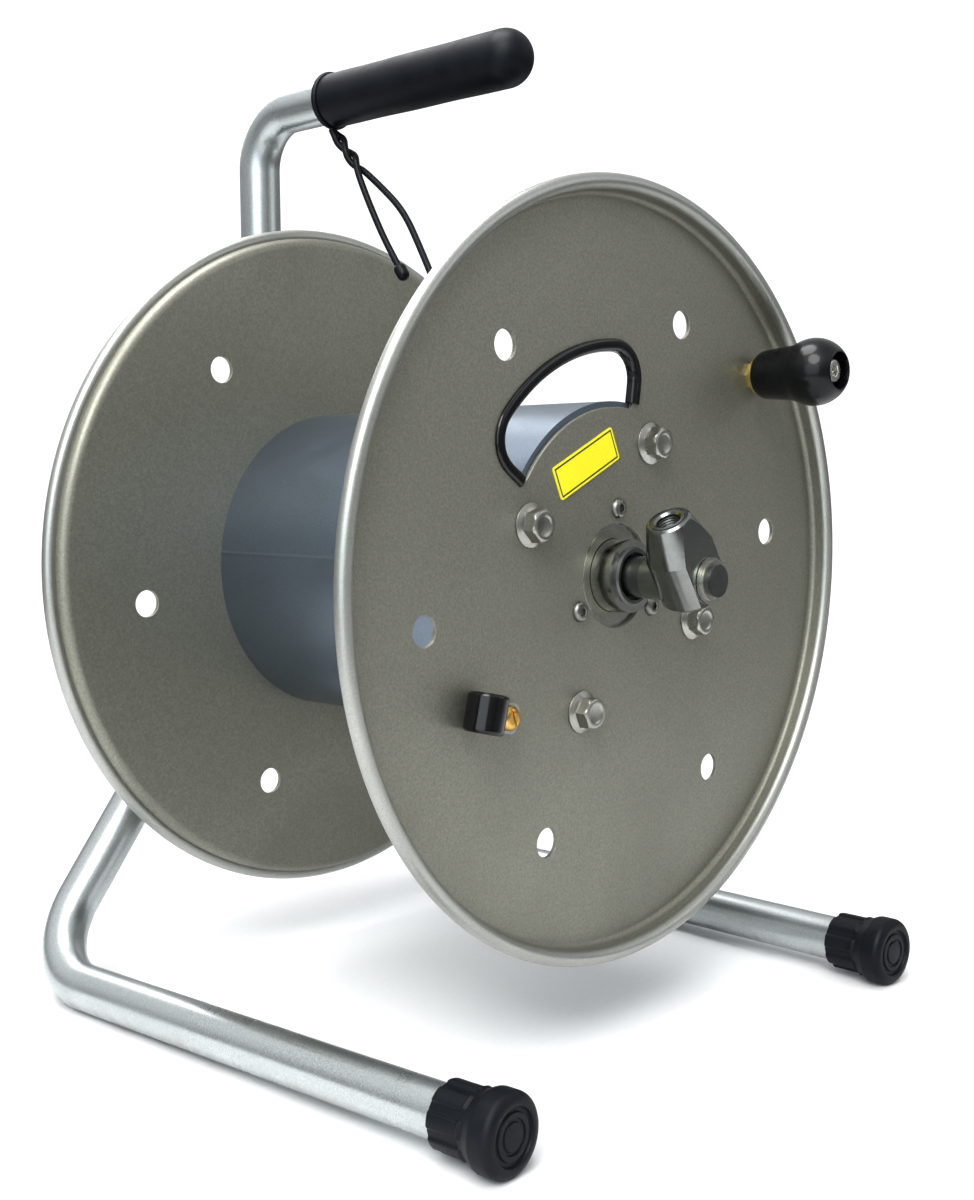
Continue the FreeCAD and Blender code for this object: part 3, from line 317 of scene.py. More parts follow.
def at(x, y, z):
    """A point given from the axle's centre in the front rim plane, moved into the row frame."""
    return Vector((x, rim_plane() + y, AXLE_Z + z))


# ---- surfaces -----------------------------------------------------------------------------------
def surface(points, wrap_rows=False, wrap_columns=False):
    """Quads over a grid of points: rows by columns, joined round where asked."""
    rows, columns = points.shape[:2]
    index = np.arange(rows * columns).reshape(rows, columns)
    if wrap_rows:
        index = np.vstack([index, index[:1]])
    if wrap_columns:
        index = np.hstack([index, index[:, :1]])
    corners = [index[:-1, :-1], index[:-1, 1:], index[1:, 1:], index[1:, :-1]]
    return points.reshape(-1, 3), np.stack(corners, axis=-1).reshape(-1, 4)


def rounded(rows, steps=5):
    """A profile through rows of (a, b, radius), each corner turned as a tangent arc of its radius.

    At a corner with unit directions u and v to its neighbours and half angle h between them, the arc
    of radius r starts r / tan h along u, ends r / tan h along v and is centred r / sin h along u + v.
    Its points are the two end radii mixed by sin((1 - s) a) and sin(s a), over the sine of its angle a.
    """
    rows = np.asarray(rows, float)
    corners = rows[:, :2]
    s = np.linspace(0, 1, steps + 1)[:, None]
    stretches = [corners[:1]]
    for last, corner, following, radius in zip(corners, corners[1:], corners[2:], rows[1:, 2]):
        if radius <= 0:
            stretches.append(corner[None])
            continue
        to_last = (last - corner) / np.linalg.norm(last - corner)
        to_next = (following - corner) / np.linalg.norm(following - corner)
        half = math.acos(np.clip(to_last @ to_next, -1, 1)) / 2
        middle = (to_last + to_next) / np.linalg.norm(to_last + to_next)
        centre = corner + middle * radius / math.sin(half)
        start = corner + to_last * radius / math.tan(half) - centre
        end = corner + to_next * radius / math.tan(half) - centre
        sweep = math.pi - 2 * half
        arc = (np.sin((1 - s) * sweep) * start + np.sin(s * sweep) * end) / math.sin(sweep)
        stretches.append(centre + arc)
    stretches.append(corners[-1:])
    return np.vstack(stretches)


def even(steps):
    """Angles evenly round a full turn."""
    return np.linspace(0, 2 * np.pi, steps, endpoint=False)


def circled(angle):
    """Rows of (cos a, sin a)."""
    return np.stack([np.cos(angle), np.sin(angle)], axis=-1)


def round_stretch(centre, radius, start, end, steps):
    """Points on a circle from one angle to another, in degrees."""
    return np.asarray(centre) + radius * circled(np.radians(np.linspace(start, end, steps + 1)))


def round_loop(x, z, diameter, steps=48):
    """A circle as (x, z) rows."""
    return np.array([x, z]) + diameter / 2 * circled(even(steps))


def ring_places(count, phase, diameter):
    """Places (x, z) evenly round a circle about the axle."""
    return circled(phase + even(count)) * diameter / 2


def stood(flat, depth):
    """Points (x, depth, z) from an array of (x, z) points."""
    return np.stack([flat[..., 0], np.broadcast_to(depth, flat.shape[:-1]), flat[..., 1]], axis=-1)


def straight(radius, along, *flats):
    """Profile rows at one radius, with flats if they are given."""
    return np.column_stack([np.full(len(along), radius), along] + [np.full(len(along), f) for f in flats])


def turned(rows, radius=0.0, height=0.0, flats=ROUND):
    """Profile rows (radius, height, flats) from (radius, height) in millimetres past a given pair."""
    rows = np.array(rows) * MM
    return np.column_stack([radius + rows[:, 0], height + rows[:, 1], np.full(len(rows), flats)])


def spin(profile, angles=96, ripple=None, wrap=False):
    """A profile of (radius, along) or (radius, along, flats) rows carried round the Y axis.

    The point at row i and angle a is (r cos a, y, r sin a).  r is the profile's radius plus
    ripple(a, y), cut back to half the flats over the cosine of a folded into one sixth of a turn, so
    that a row with flats is a hexagon wherever the circle would pass it, and a row with ROUND is not.
    """
    profile = np.asarray(profile, float)
    angles = even(angles) if np.isscalar(angles) else angles
    along = profile[:, 1:2]
    radius = np.repeat(profile[:, :1], len(angles), axis=1)
    if ripple is not None:
        radius = radius + ripple(angles[None, :], along)
    if profile.shape[1] > 2:
        sixth = np.pi / 3
        folded = (angles + sixth / 2) % sixth - sixth / 2
        radius = np.minimum(radius, profile[:, 2:] / 2 / np.cos(folded))
    along = np.broadcast_to(along, radius.shape)
    points = np.stack([radius * np.cos(angles), along, radius * np.sin(angles)], axis=-1)
    return surface(points, wrap, True)


def placed(part, where, axis=(0, 1, 0), angle=0.0):
    """A part built along Y, turned about Y by an angle, pointed along an axis and moved to its place."""
    points, faces = part
    pose = Vector(axis).to_track_quat("Y", "Z").to_matrix() @ Matrix.Rotation(angle, 3, "Y")
    return points @ np.array(pose).T + np.array(where), faces


def to_rear(part):
    """A front part mirrored about the drum's middle plane."""
    points, *rest = part
    return (points * (1, -1, 1) + (0, 2 * MIDDLE_Y, 0), *rest)


def fan(ring):
    """Triangles from a ring's middle to each of its edges."""
    count = len(ring)
    index = np.arange(count)
    triangles = np.stack([index, np.roll(index, -1), np.full(count, count)], axis=-1)
    return np.vstack([ring, ring.mean(axis=0)]), triangles


def capped(part, columns):
    """A part made of rings of points and the fans that close its first and last ring."""
    return [part, fan(part[0][:columns]), fan(part[0][-columns:])]


def mended(mesh):
    """Merge a mesh's doubles and turn its faces outwards."""
    shell = bmesh.new()
    shell.from_mesh(mesh)
    bmesh.ops.remove_doubles(shell, verts=shell.verts, dist=DOUBLES)
    bmesh.ops.recalc_face_normals(shell, faces=shell.faces)
    shell.to_mesh(mesh)
    shell.free()


def added(name, data):
    """A new object, linked to the scene."""
    made = bpy.data.objects.new(name, data)
    bpy.context.scene.collection.objects.link(made)
    return made


def piece(name, parts, materials, body, stands_for=(), sharp=32.0):
    """One named object from parts of (points, faces) or (points, faces, material number).

    Its doubles are merged, its faces turned outwards and its edges over the sharp angle kept crisp.
    """
    mesh = bpy.data.meshes.new(name)
    offsets = np.cumsum([0] + [len(part[0]) for part in parts])
    faces = [face for part, offset in zip(parts, offsets) for face in (part[1] + offset).tolist()]
    numbers = np.concatenate([np.full(len(part[1]), part[2] if len(part) > 2 else 0) for part in parts])
    mesh.from_pydata(np.vstack([part[0] for part in parts]).tolist(), [], faces)
    mesh.polygons.foreach_set("material_index", numbers.astype(np.int32))
    mended(mesh)
    mesh.polygons.foreach_set("use_smooth", np.ones(len(mesh.polygons), bool))
    mesh.set_sharp_from_angle(angle=math.radians(sharp))
    for material in (materials if isinstance(materials, list) else [materials]):
        mesh.materials.append(material)
    made = added(name, mesh)
    made.modifiers.new("Weighted Normal", "WEIGHTED_NORMAL").keep_sharp = True
    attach(made, body)
    if stands_for:
        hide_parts(*stands_for)
    return made


# ---- finishes -----------------------------------------------------------------------------------
RUBBED_PAINT = (0.66, 0.66, 0.62, 1.0)
RUBBED_RUBBER = (0.06, 0.062, 0.07, 1.0)
DUST = (0.035, 0.037, 0.042, 1.0)
# Brownish tint of the painted floor reflection low on the stand.
FLOOR_BOUNCE_TINT = (0.20, 0.145, 0.09, 1.0)
FLECK = (0.95, 0.95, 0.93, 1.0)
BLACK = (0.0, 0.0, 0.0, 1.0)
WHITE = (1.0, 1.0, 1.0, 1.0)
# Nodes with a finish of their own in place of their slot's.
SHIELDS = {"front_bearing_seals": "bearing_shield", "rear_bearing_seals": "bearing_shield"}


class Tree:
    """A short way to write a node tree: put a node down, set its inputs, link sockets into it."""

    def __init__(self, tree):
        self.tree = tree
        tree.nodes.clear()

    def put(self, kind, inputs=None, **values):
        """A new node with its own values set and its inputs fed."""
        made = self.tree.nodes.new(kind)
        for key, value in values.items():
            setattr(made, key, value)
        self.feed(made, inputs or {})
        return made

    def feed(self, node, inputs):
        """Link each input that is a socket and set each one that is a value."""
        for key, value in inputs.items():
            if isinstance(value, bpy.types.NodeSocket):
                self.tree.links.new(value, node.inputs[key])
            else:
                node.inputs[key].default_value = value

    def use(self, group, inputs):
        """The outputs of a shared group, placed with its own values."""
        return self.put("ShaderNodeGroup", inputs, node_tree=group).outputs

    def mixed(self, factor, a, b):
        """A colour between two."""
        return self.put("ShaderNodeMix", {0: factor, 6: a, 7: b}, data_type="RGBA").outputs[2]

    def calc(self, operation, a, b=0.0, c=0.0):
        """A Math node's value."""
        return self.put("ShaderNodeMath", {0: a, 1: b, 2: c}, operation=operation).outputs[0]

    def times(self, a, b):
        """Two values multiplied."""
        return self.calc("MULTIPLY", a, b)

    def vector(self, operation, a, b=(0.0, 0.0, 0.0)):
        """A Vector Math node."""
        return self.put("ShaderNodeVectorMath", {0: a, 1: b}, operation=operation)

    def ranged(self, value, low, high, to_low=0.0, to_high=1.0, curve="LINEAR"):
        """A value stretched from one range to another, held at its ends."""
        inputs = {"Value": value, "From Min": low, "From Max": high, "To Min": to_low, "To Max": to_high}
        return self.put("ShaderNodeMapRange", inputs, interpolation_type=curve).outputs[0]

    def noise(self, vector, scale, detail=4.0, roughness=0.55, distortion=0.0):
        """Noise at a scale, as a value about one half."""
        inputs = {"Vector": vector, "Scale": scale, "Detail": detail, "Roughness": roughness,
                  "Distortion": distortion}
        return self.put("ShaderNodeTexNoise", inputs).outputs["Fac"]

    def bumped(self, height, distance, strength):
        """A normal from a height."""
        inputs = {"Height": height, "Distance": distance, "Strength": strength}
        return self.put("ShaderNodeBump", inputs).outputs["Normal"]

    def grain(self, where, base, scale, dark, light, flecks=0.0):
        """The fine grain, between a darker and a lighter tone of its base."""
        return self.use(fine_grain(), {"Vector": where, "Scale": scale, "Flecks": flecks,
                                       "Dark": rgba(base, dark), "Light": rgba(base, light)})

    def marks(self, where, scale, roughness, spread):
        """The handling marks, from one roughness up."""
        return self.use(handling_marks(), {"Vector": where, "Scale": scale, "Roughness": roughness,
                                           "Spread": spread})

    def worn(self, where, amount, under, bare):
        """A colour with another where its edges are worn."""
        wear = self.use(edge_wear(), {"Vector": where, "Amount": amount})
        return self.mixed(wear["Mask"], under, bare)


def shared(name, inputs, outputs, fill):
    """A shader node group with named sockets, built once and kept."""
    group = bpy.data.node_groups.get(name)
    if group:
        return group
    group = bpy.data.node_groups.new(name, "ShaderNodeTree")
    for socket, (kind, default) in inputs.items():
        made = group.interface.new_socket(name=socket, in_out="INPUT", socket_type="NodeSocket" + kind)
        if default is not None:
            made.default_value = default
    for socket, kind in outputs.items():
        group.interface.new_socket(name=socket, in_out="OUTPUT", socket_type="NodeSocket" + kind)
    tree = Tree(group)
    start = tree.put("NodeGroupInput")
    results = fill(tree, start.outputs)
    tree.put("NodeGroupOutput", results)
    return group


def fine_grain():
    """Close speckle of a metallic paint or cast surface: two colours mixed by fine noise, with flecks."""
    def fill(tree, given):
        noise = tree.noise(given["Vector"], given["Scale"], 3.0, 0.65)
        fine = tree.ranged(noise, 0.34, 0.66)
        flecks = tree.noise(given["Vector"], tree.times(given["Scale"], 2.3), 1.0, 0.5)
        sparkle = tree.times(tree.ranged(flecks, 0.62, 0.72), given["Flecks"])
        base = tree.mixed(fine, given["Dark"], given["Light"])
        bright = tree.mixed(sparkle, base, FLECK)
        return {"Colour": bright, "Height": noise}
    inputs = {"Vector": ("Vector", None), "Scale": ("Float", 800.0), "Flecks": ("Float", 0.2),
              "Dark": ("Color", None), "Light": ("Color", None)}
    return shared("Fine Grain", inputs, {"Colour": "Color", "Height": "Float"}, fill)


def handling_marks():
    """Broad cloudy smears that change the gloss, with a mask for colour."""
    def fill(tree, given):
        cloud = tree.noise(given["Vector"], given["Scale"], 5.0, 0.6, 0.8)
        mask = tree.ranged(cloud, 0.38, 0.66)
        spread = tree.times(mask, given["Spread"])
        return {"Mask": mask, "Roughness": tree.calc("ADD", given["Roughness"], spread)}
    inputs = {"Vector": ("Vector", None), "Scale": ("Float", 12.0), "Roughness": ("Float", 0.4),
              "Spread": ("Float", 0.1)}
    return shared("Handling Marks", inputs, {"Mask": "Float", "Roughness": "Float"}, fill)


def brushed_lines():
    """Fine scratches in one direction: noise squeezed along two axes."""
    def fill(tree, given):
        squeezed = tree.vector("MULTIPLY", given["Vector"], given["Stretch"]).outputs[0]
        lines = tree.noise(squeezed, 1.0, 4.0, 0.7)
        return {"Mask": tree.ranged(lines, 0.3, 0.7), "Height": lines}
    inputs = {"Vector": ("Vector", None), "Stretch": ("Vector", (900.0, 30.0, 900.0))}
    return shared("Brushed Lines", inputs, {"Mask": "Float", "Height": "Float"}, fill)


def edge_wear():
    """Convex edges, broken up by noise."""
    def fill(tree, given):
        point = tree.put("ShaderNodeNewGeometry").outputs["Pointiness"]
        edge = tree.ranged(point, 0.54, 0.66)
        broken = tree.ranged(tree.noise(given["Vector"], given["Scale"], 4.0, 0.7), 0.35, 0.65)
        return {"Mask": tree.times(tree.times(edge, broken), given["Amount"])}
    inputs = {"Vector": ("Vector", None), "Scale": ("Float", 220.0), "Amount": ("Float", 0.6)}
    return shared("Edge Wear", inputs, {"Mask": "Float"}, fill)


def painted_floor_bounce():
    """A painted brownish floor reflection where a piece is near the floor: low z, broken up by noise."""
    def fill(tree, given):
        z = tree.put("ShaderNodeSeparateXYZ", {0: given["Vector"]}).outputs["Z"]
        low = tree.ranged(z, given["Top"], 0.0)
        broken = tree.ranged(tree.noise(given["Vector"], 60.0, 6.0, 0.75), 0.42, 0.70)
        return {"Mask": tree.times(low, broken)}
    inputs = {"Vector": ("Vector", None), "Top": ("Float", 0.03)}
    return shared("Painted Floor Bounce", inputs, {"Mask": "Float"}, fill)


def rgba(values, factor=1.0):
    """A colour with alpha, lightened or darkened."""
    return tuple(min(1.0, value * factor) for value in values) + (1.0,)


def started(name):
    """A new material's tree, its Object coordinates and its shader."""
    material = bpy.data.materials.new("finish_" + name)
    material.use_nodes = True
    tree = Tree(material.node_tree)
    where = tree.put("ShaderNodeTexCoord").outputs["Object"]
    shader = tree.put("ShaderNodeBsdfPrincipled")
    tree.put("ShaderNodeOutputMaterial", {"Surface": shader.outputs["BSDF"]})
    return material, tree, where, shader


def metallic_paint(name, base, roughness, scale, flecks, contrast, metallic, rubbed=0.0, floor_bounce=0.0):
    """Satin paint with metal flake: close grain, cloudy gloss, a painted brownish floor reflection up to a height
    over the floor.
    """
    material, tree, where, shader = started(name)
    grain = tree.grain(where, base, scale, 1 - contrast, 1 + contrast, flecks)
    marks = tree.marks(where, 9.0, roughness, 0.10)
    faded = tree.mixed(tree.times(marks["Mask"], 0.25), grain["Colour"], rgba(base, 0.82))
    colour = tree.worn(where, rubbed, faded, RUBBED_PAINT)
    # Painted floor reflection: a brownish tint up to a height over the floor, broken up by noise.
    if floor_bounce:
        bounce = tree.use(painted_floor_bounce(), {"Vector": where, "Top": floor_bounce})
        colour = tree.mixed(bounce["Mask"], colour, FLOOR_BOUNCE_TINT)
    tree.feed(shader, {"Base Color": colour, "Roughness": marks["Roughness"], "Metallic": metallic,
                       "Normal": tree.bumped(grain["Height"], 0.06 * MM, 0.5)})
    return material


def turned_metal(name, base, roughness, stretch=(60.0, 1500.0, 60.0), line_depth=0.02, spread=0.12):
    """Bare or plated metal with tool lines, their depth in millimetres, and smears."""
    material, tree, where, shader = started(name)
    lines = tree.use(brushed_lines(), {"Vector": where, "Stretch": stretch})
    marks = tree.marks(where, 70.0, roughness, spread)
    toned = tree.mixed(lines["Mask"], rgba(base, 0.86), rgba(base, 1.08))
    stained = tree.mixed(tree.times(marks["Mask"], 0.30), toned, rgba(base, 0.62))
    colour = tree.worn(where, 0.5, stained, rgba(base, 1.45))
    tree.feed(shader, {"Base Color": colour, "Roughness": marks["Roughness"], "Metallic": 1.0,
                       "Normal": tree.bumped(lines["Height"], line_depth * MM, 0.6)})
    return material


def moulded(name, base, roughness, pores, depth, coat=0.0, coat_roughness=0.1, dust=0.10):
    """Rubber, vinyl or plastic: pores, their depth in millimetres, smears, dust and rubbed edges."""
    material, tree, where, shader = started(name)
    grain = tree.grain(where, base, pores, 0.8, 1.3)
    marks = tree.marks(where, 40.0, roughness, 0.14)
    dusty = tree.mixed(tree.times(marks["Mask"], dust), grain["Colour"], DUST)
    colour = tree.worn(where, 0.35, dusty, RUBBED_RUBBER)
    tree.feed(shader, {"Base Color": colour, "Roughness": marks["Roughness"], "Coat Weight": coat,
                       "Coat Roughness": coat_roughness, "Specular IOR Level": 0.18,
                       "Normal": tree.bumped(grain["Height"], depth * MM, 0.7)})
    return material


def printed_film(name, base, line):
    """The blank label: coloured film with a plain border, in the plate's own directions.

    The border is where the smaller of the distances to the label's ends and sides is near the inset.
    """
    label = settings("label")
    material, tree, where, shader = started(name)
    low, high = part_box("label_plate")
    centred = tree.vector("SUBTRACT", where, tuple((low + high) / 2)).outputs[0]
    square = tree.put("ShaderNodeVectorRotate", {"Vector": centred, "Axis": (0, 1, 0), "Angle": label.slope})
    flat = tree.put("ShaderNodeSeparateXYZ", {0: square.outputs[0]}).outputs
    from_end = tree.calc("SUBTRACT", label.long / 2, tree.calc("ABSOLUTE", flat["X"]))
    from_side = tree.calc("SUBTRACT", label.wide / 2, tree.calc("ABSOLUTE", flat["Z"]))
    band = tree.calc("COMPARE", tree.calc("MINIMUM", from_end, from_side), label.border, label.line)
    grain = tree.grain(where, base, 1500.0, 0.93, 1.04)
    marks = tree.marks(where, 60.0, 0.28, 0.15)
    inked = tree.mixed(band, grain["Colour"], rgba(line))
    tree.feed(shader, {"Base Color": inked, "Roughness": marks["Roughness"],
                       "Coat Weight": 0.4, "Coat Roughness": 0.15,
                       "Normal": tree.bumped(grain["Height"], 0.02 * MM, 0.4)})
    return material


def make_finishes():
    """Every finish of the reel, by the name of its material slot in the record."""
    c = settings("colours")
    lathed = {"stretch": (1400.0, 40.0, 1400.0)}
    plan = {
        "flange_sheet": (metallic_paint, c.sheet, dict(
            roughness=0.42, scale=750.0, flecks=0.12, contrast=0.14, metallic=0.66)),
        # Rim bead: lighter than the sheet as a painted highlight of its curve, with rubbed wear on its edges.
        "rim_bead": (metallic_paint, c.bead, dict(
            roughness=0.36, scale=900.0, flecks=0.15, contrast=0.08, metallic=0.95, rubbed=0.12)),
        "drum_sheet": (metallic_paint, c.drum, dict(
            roughness=0.30, scale=900.0, flecks=0.08, contrast=0.08, metallic=0.92)),
        # The stand tube gets the painted brownish floor reflection up to 16 mm over the floor.
        "stand_tube": (metallic_paint, c.tube, dict(
            roughness=0.25, scale=1100.0, flecks=0.22, contrast=0.14, metallic=0.92, rubbed=0.15,
            floor_bounce=0.016)),
        "zinc": (turned_metal, c.zinc, dict(roughness=0.26)),
        "hub_screw": (turned_metal, c.hub_screw, dict(roughness=0.28)),
        "knob_screw": (turned_metal, c.knob_screw, dict(roughness=0.20)),
        "yellow_zinc": (turned_metal, c.yellow_zinc, dict(roughness=0.28)),
        "brass": (turned_metal, c.brass, dict(roughness=0.22)),
        "bearing_steel": (turned_metal, c.steel, dict(roughness=0.15, **lathed)),
        "dark_steel": (turned_metal, c.dark_steel, dict(roughness=0.30, **lathed)),
        "polished_steel": (turned_metal, c.polished, dict(
            roughness=0.17, line_depth=0.01, spread=0.08, **lathed)),
        "bearing_shield": (turned_metal, c.shield, dict(roughness=0.40, **lathed)),
        "black_rubber": (moulded, c.rubber, dict(roughness=0.42, pores=900.0, depth=0.06)),
        "knob_plastic": (moulded, c.knob, dict(
            roughness=0.24, pores=700.0, depth=0.02, coat=0.3, coat_roughness=0.08, dust=0.05)),
        "black_vinyl": (moulded, c.vinyl, dict(
            roughness=0.16, pores=500.0, depth=0.03, coat=0.6, coat_roughness=0.05, dust=0.04)),
        "label_yellow": (printed_film, c.label, dict(line=c.label_line)),
        "tie_cord": (moulded, c.rubber, dict(roughness=0.38, pores=800.0, depth=0.05)),
    }
    return {slot: make(slot, base, **values) for slot, (make, base, values) in plan.items()}


def finish(slot):
    """A finish that the finishes operator has made."""
    return bpy.data.materials["finish_" + slot]


# ---- operators ----------------------------------------------------------------------------------
class MakeFinishes(bpy.types.Operator):
    """Make every finish and put it on the frame's own pieces."""
    bl_idname = "reel.make_finishes"
    bl_label = "Finishes"

    def execute(self, context):
        finishes = make_finishes()
        for row in frame["record"]["subparts"]:
            target = frame["nodes"][row["node"]]
            material = finishes[SHIELDS.get(row["node"], row["material_slot"])]
            if not target.material_slots:
                target.data.materials.append(material)
            for slot in target.material_slots:
                slot.link = "OBJECT"
                slot.material = material
        return {"FINISHED"}


def slot_outline(longest=1.5 * MM):
    """The hose slot's closed outline as (x, z) rows, no step longer than the longest.

    In (arc length at the middle radius, radius) it is a rectangle with rounded corners; arc length over
    the middle radius is the angle about the axle.
    """
    f = settings("flanges")
    low = f.slot_foot
    high = f.slot_top
    mean = (low + high) / 2
    start = f.slot_start * mean
    end = f.slot_end * mean
    foot = ((start + end) / 2, low, 0)
    flat = rounded([foot, (start, low, f.slot_foot_corner), (start, high, f.slot_corner),
                    (end, high, f.slot_corner), (end, low, f.slot_foot_corner), foot], 8)
    step = np.linalg.norm(np.diff(flat, axis=0), axis=1)
    run = np.concatenate([[0], np.cumsum(step)])
    stops = np.union1d(run, np.arange(0, run[-1], longest))[:-1]
    along = np.interp(stops, run, flat[:, 0])
    radius = np.interp(stops, run, flat[:, 1])
    return radius[:, None] * circled(along / mean)


def outward(loop):
    """Unit normals of a closed (x, z) loop that point away from its inside."""
    along = np.roll(loop, -1, axis=0) - np.roll(loop, 1, axis=0)
    normal = np.stack([along[:, 1], -along[:, 0]], axis=-1)
    normal /= np.linalg.norm(normal, axis=1)[:, None]
    area = np.sum(loop[:, 0] * np.roll(loop[:, 1], -1) - loop[:, 1] * np.roll(loop[:, 0], -1))
    return normal * np.sign(area)


def pierced(loop, near, far, edge):
    """The wall of a hole through the disc: its loop offset outwards by e (1 - sin t) where it has run
    in by e (1 - cos t) from each face, for a broken edge of radius e."""
    t = np.radians(np.linspace(0, 90, 5))
    wider = edge * (1 - np.sin(t))
    deeper = edge * (1 - np.cos(t))
    rows = np.vstack([np.column_stack([wider, near + deeper]), np.column_stack([wider, far - deeper])[::-1]])
    flat = loop[None] + outward(loop)[None] * rows[:, :1, None]
    return surface(stood(flat, rows[:, 1:2]), False, True)


def disc_face(outer, holes, depth):
    """A flat face at one depth between an outer loop and its holes, cut into triangles."""
    loops = [outer] + holes
    solid = [[Vector((x, z, 0)) for x, z in loop] for loop in loops]
    return stood(np.vstack(loops), depth), np.array(tessellate_polygon(solid))


def rim_profile(f):
    """From the disc's front face round the corner, over the rolled bead and back to the rear face."""
    bead = f.bead / 2
    centre = RIM_RADIUS - bead
    lip_in = centre - bead
    lip_out = lip_in + f.sheet
    back = f.recess + f.sheet
    bend = f.corner + f.sheet
    leave = 360 + math.degrees(math.acos((lip_out - centre) / bead))
    front = rounded([(lip_in - f.corner, f.recess, 0), (lip_in, f.recess, f.corner), (lip_in, 0, 0)], 7)
    over = round_stretch((centre, 0), bead, 180, leave, 40)
    rear = rounded([(lip_out, back - bend, 0), (lip_out, back, bend), (lip_out - bend, back, 0)], 9)
    return front, over, rear


def flange_parts(front):
    """The parts of one flange: two pierced faces, the walls of the holes and the rim."""
    f = settings("flanges")
    b = settings("fasteners")
    knob = settings("knob")
    clip = settings("clip")
    back = f.recess + f.sheet
    # how many holes, the first one's angle, their circle, their diameter and the steps round one
    circles = [(f.hole_count, f.hole_phase, f.hole_circle, f.hole, 48),
               (b.bolt_count, b.bolt_phase, b.bolt_circle, b.bolt_shank + b.bolt_clearance, 32),
               (b.screw_count, b.screw_phase, b.screw_circle, b.screw_shank + b.screw_clearance, 24)]
    loops = [round_loop(0, 0, f.hub_hole, 96)]
    for count, phase, circle, hole, steps in circles:
        loops += [round_loop(x, z, hole, steps) for x, z in ring_places(count, phase, circle)]
    if front:
        knob_x, _, knob_z = JOINTS["knob_spin"]["pos_m"]
        loops += [slot_outline(), round_loop(knob_x, knob_z - AXLE_Z, knob.bolt + knob.bolt_clearance, 32),
                  round_loop(clip.screw_x, clip.screw_z, clip.hole, 24)]
    wide = [loop + outward(loop) * f.break_edge for loop in loops]
    front_rim, bead, rear_rim = rim_profile(f)
    around = 288
    parts = [disc_face(round_loop(0, 0, 2 * front_rim[0, 0], around), wide, f.recess),
             disc_face(round_loop(0, 0, 2 * rear_rim[-1, 0], around), wide, back)]
    parts += [pierced(loop, f.recess, back, f.break_edge) for loop in loops]
    parts += [spin(front_rim, around), spin(bead, around) + (1,),
              spin(np.vstack([bead[-1:], rear_rim]), around)]
    centre = np.array(at(0, 0, 0))
    moved = [(points + centre, *rest) for points, *rest in parts]
    return moved if front else [to_rear(part) for part in moved]


class MakeFlanges(bpy.types.Operator):
    """Make the two rimmed discs with their holes, and the hose slot in the front one."""
    bl_idname = "reel.make_flanges"
    bl_label = "Flanges"

    def execute(self, context):
        materials = [finish("flange_sheet"), finish("rim_bead")]
        for side in ("front", "rear"):
            piece(side + "_flange_sheet", flange_parts(side == "front"), materials, "drum",
                  [side + "_flange"], 40.0)
        return {"FINISHED"}


class MakeSlotTrim(bpy.types.Operator):
    """Make the rubber edging of the hose slot: a rounded channel carried along the slot's outline."""
    bl_idname = "reel.make_slot_trim"
    bl_label = "Slot edging"

    def execute(self, context):
        f = settings("flanges")
        near = f.recess - f.trim_wall
        back = f.recess + f.sheet
        far = back + f.trim_wall
        gap = 0.05 * MM
        r = f.trim_round
        small = 0.6 * r
        foot = (f.trim_cover, f.recess - gap, 0)
        section = rounded([foot, (f.trim_cover, near, small), (-f.trim_inside, near, r),
                           (-f.trim_inside, far, r), (f.trim_cover, far, small),
                           (f.trim_cover, back + gap, 0), (gap, back + gap, 0),
                           (gap, f.recess - gap, 0), foot])[:-1]
        loop = slot_outline()
        radius = np.hypot(loop[:, 0], loop[:, 1])
        above = radius > f.trim_foot
        first = np.flatnonzero(above & ~np.roll(above, 1))[0]
        chosen = (first + np.arange(above.sum())) % len(loop)
        flat = loop[chosen, None] + outward(loop)[chosen, None] * section[None, :, :1]
        grid = stood(flat, section[:, 1]) + np.array(at(0, 0, 0))
        parts = capped(surface(grid, False, True), len(section))
        piece("slot_edging", parts, finish("black_vinyl"), "drum", ["hose_slot_trim"])
        return {"FINISHED"}


class MakeDrum(bpy.types.Operator):
    """Make the rolled shell with its rippled weld seam."""
    bl_idname = "reel.make_drum"
    bl_label = "Drum"

    def execute(self, context):
        d = settings("drum")
        f = settings("flanges")
        low = f.recess + f.sheet
        high = 2 * (MIDDLE_Y - rim_plane()) - low
        outer = d.diameter / 2
        rows = np.linspace(low, high, 240)
        profile = np.vstack([straight(outer, rows), straight(outer - d.wall, [high, low])])
        near_seam = d.seam_angle + np.linspace(-3, 3, 21) * d.seam_width / outer
        angles = np.union1d(even(180), near_seam)

        def seam(angle, along):
            """A bell across the seam, rippled along it."""
            across = (angle - d.seam_angle) * outer / d.seam_width
            ripple = 0.75 + 0.25 * np.cos(2 * np.pi * along / d.seam_pitch + 0.8 * across ** 2)
            outside = np.arange(len(profile))[:, None] < len(rows)
            return outside * d.seam_height * np.exp(-across ** 2) * ripple

        part = placed(spin(profile, angles, ripple=seam, wrap=True), at(0, 0, 0))
        piece("drum_shell_rolled", [part], finish("drum_sheet"), "drum", ["drum_shell"])
        return {"FINISHED"}


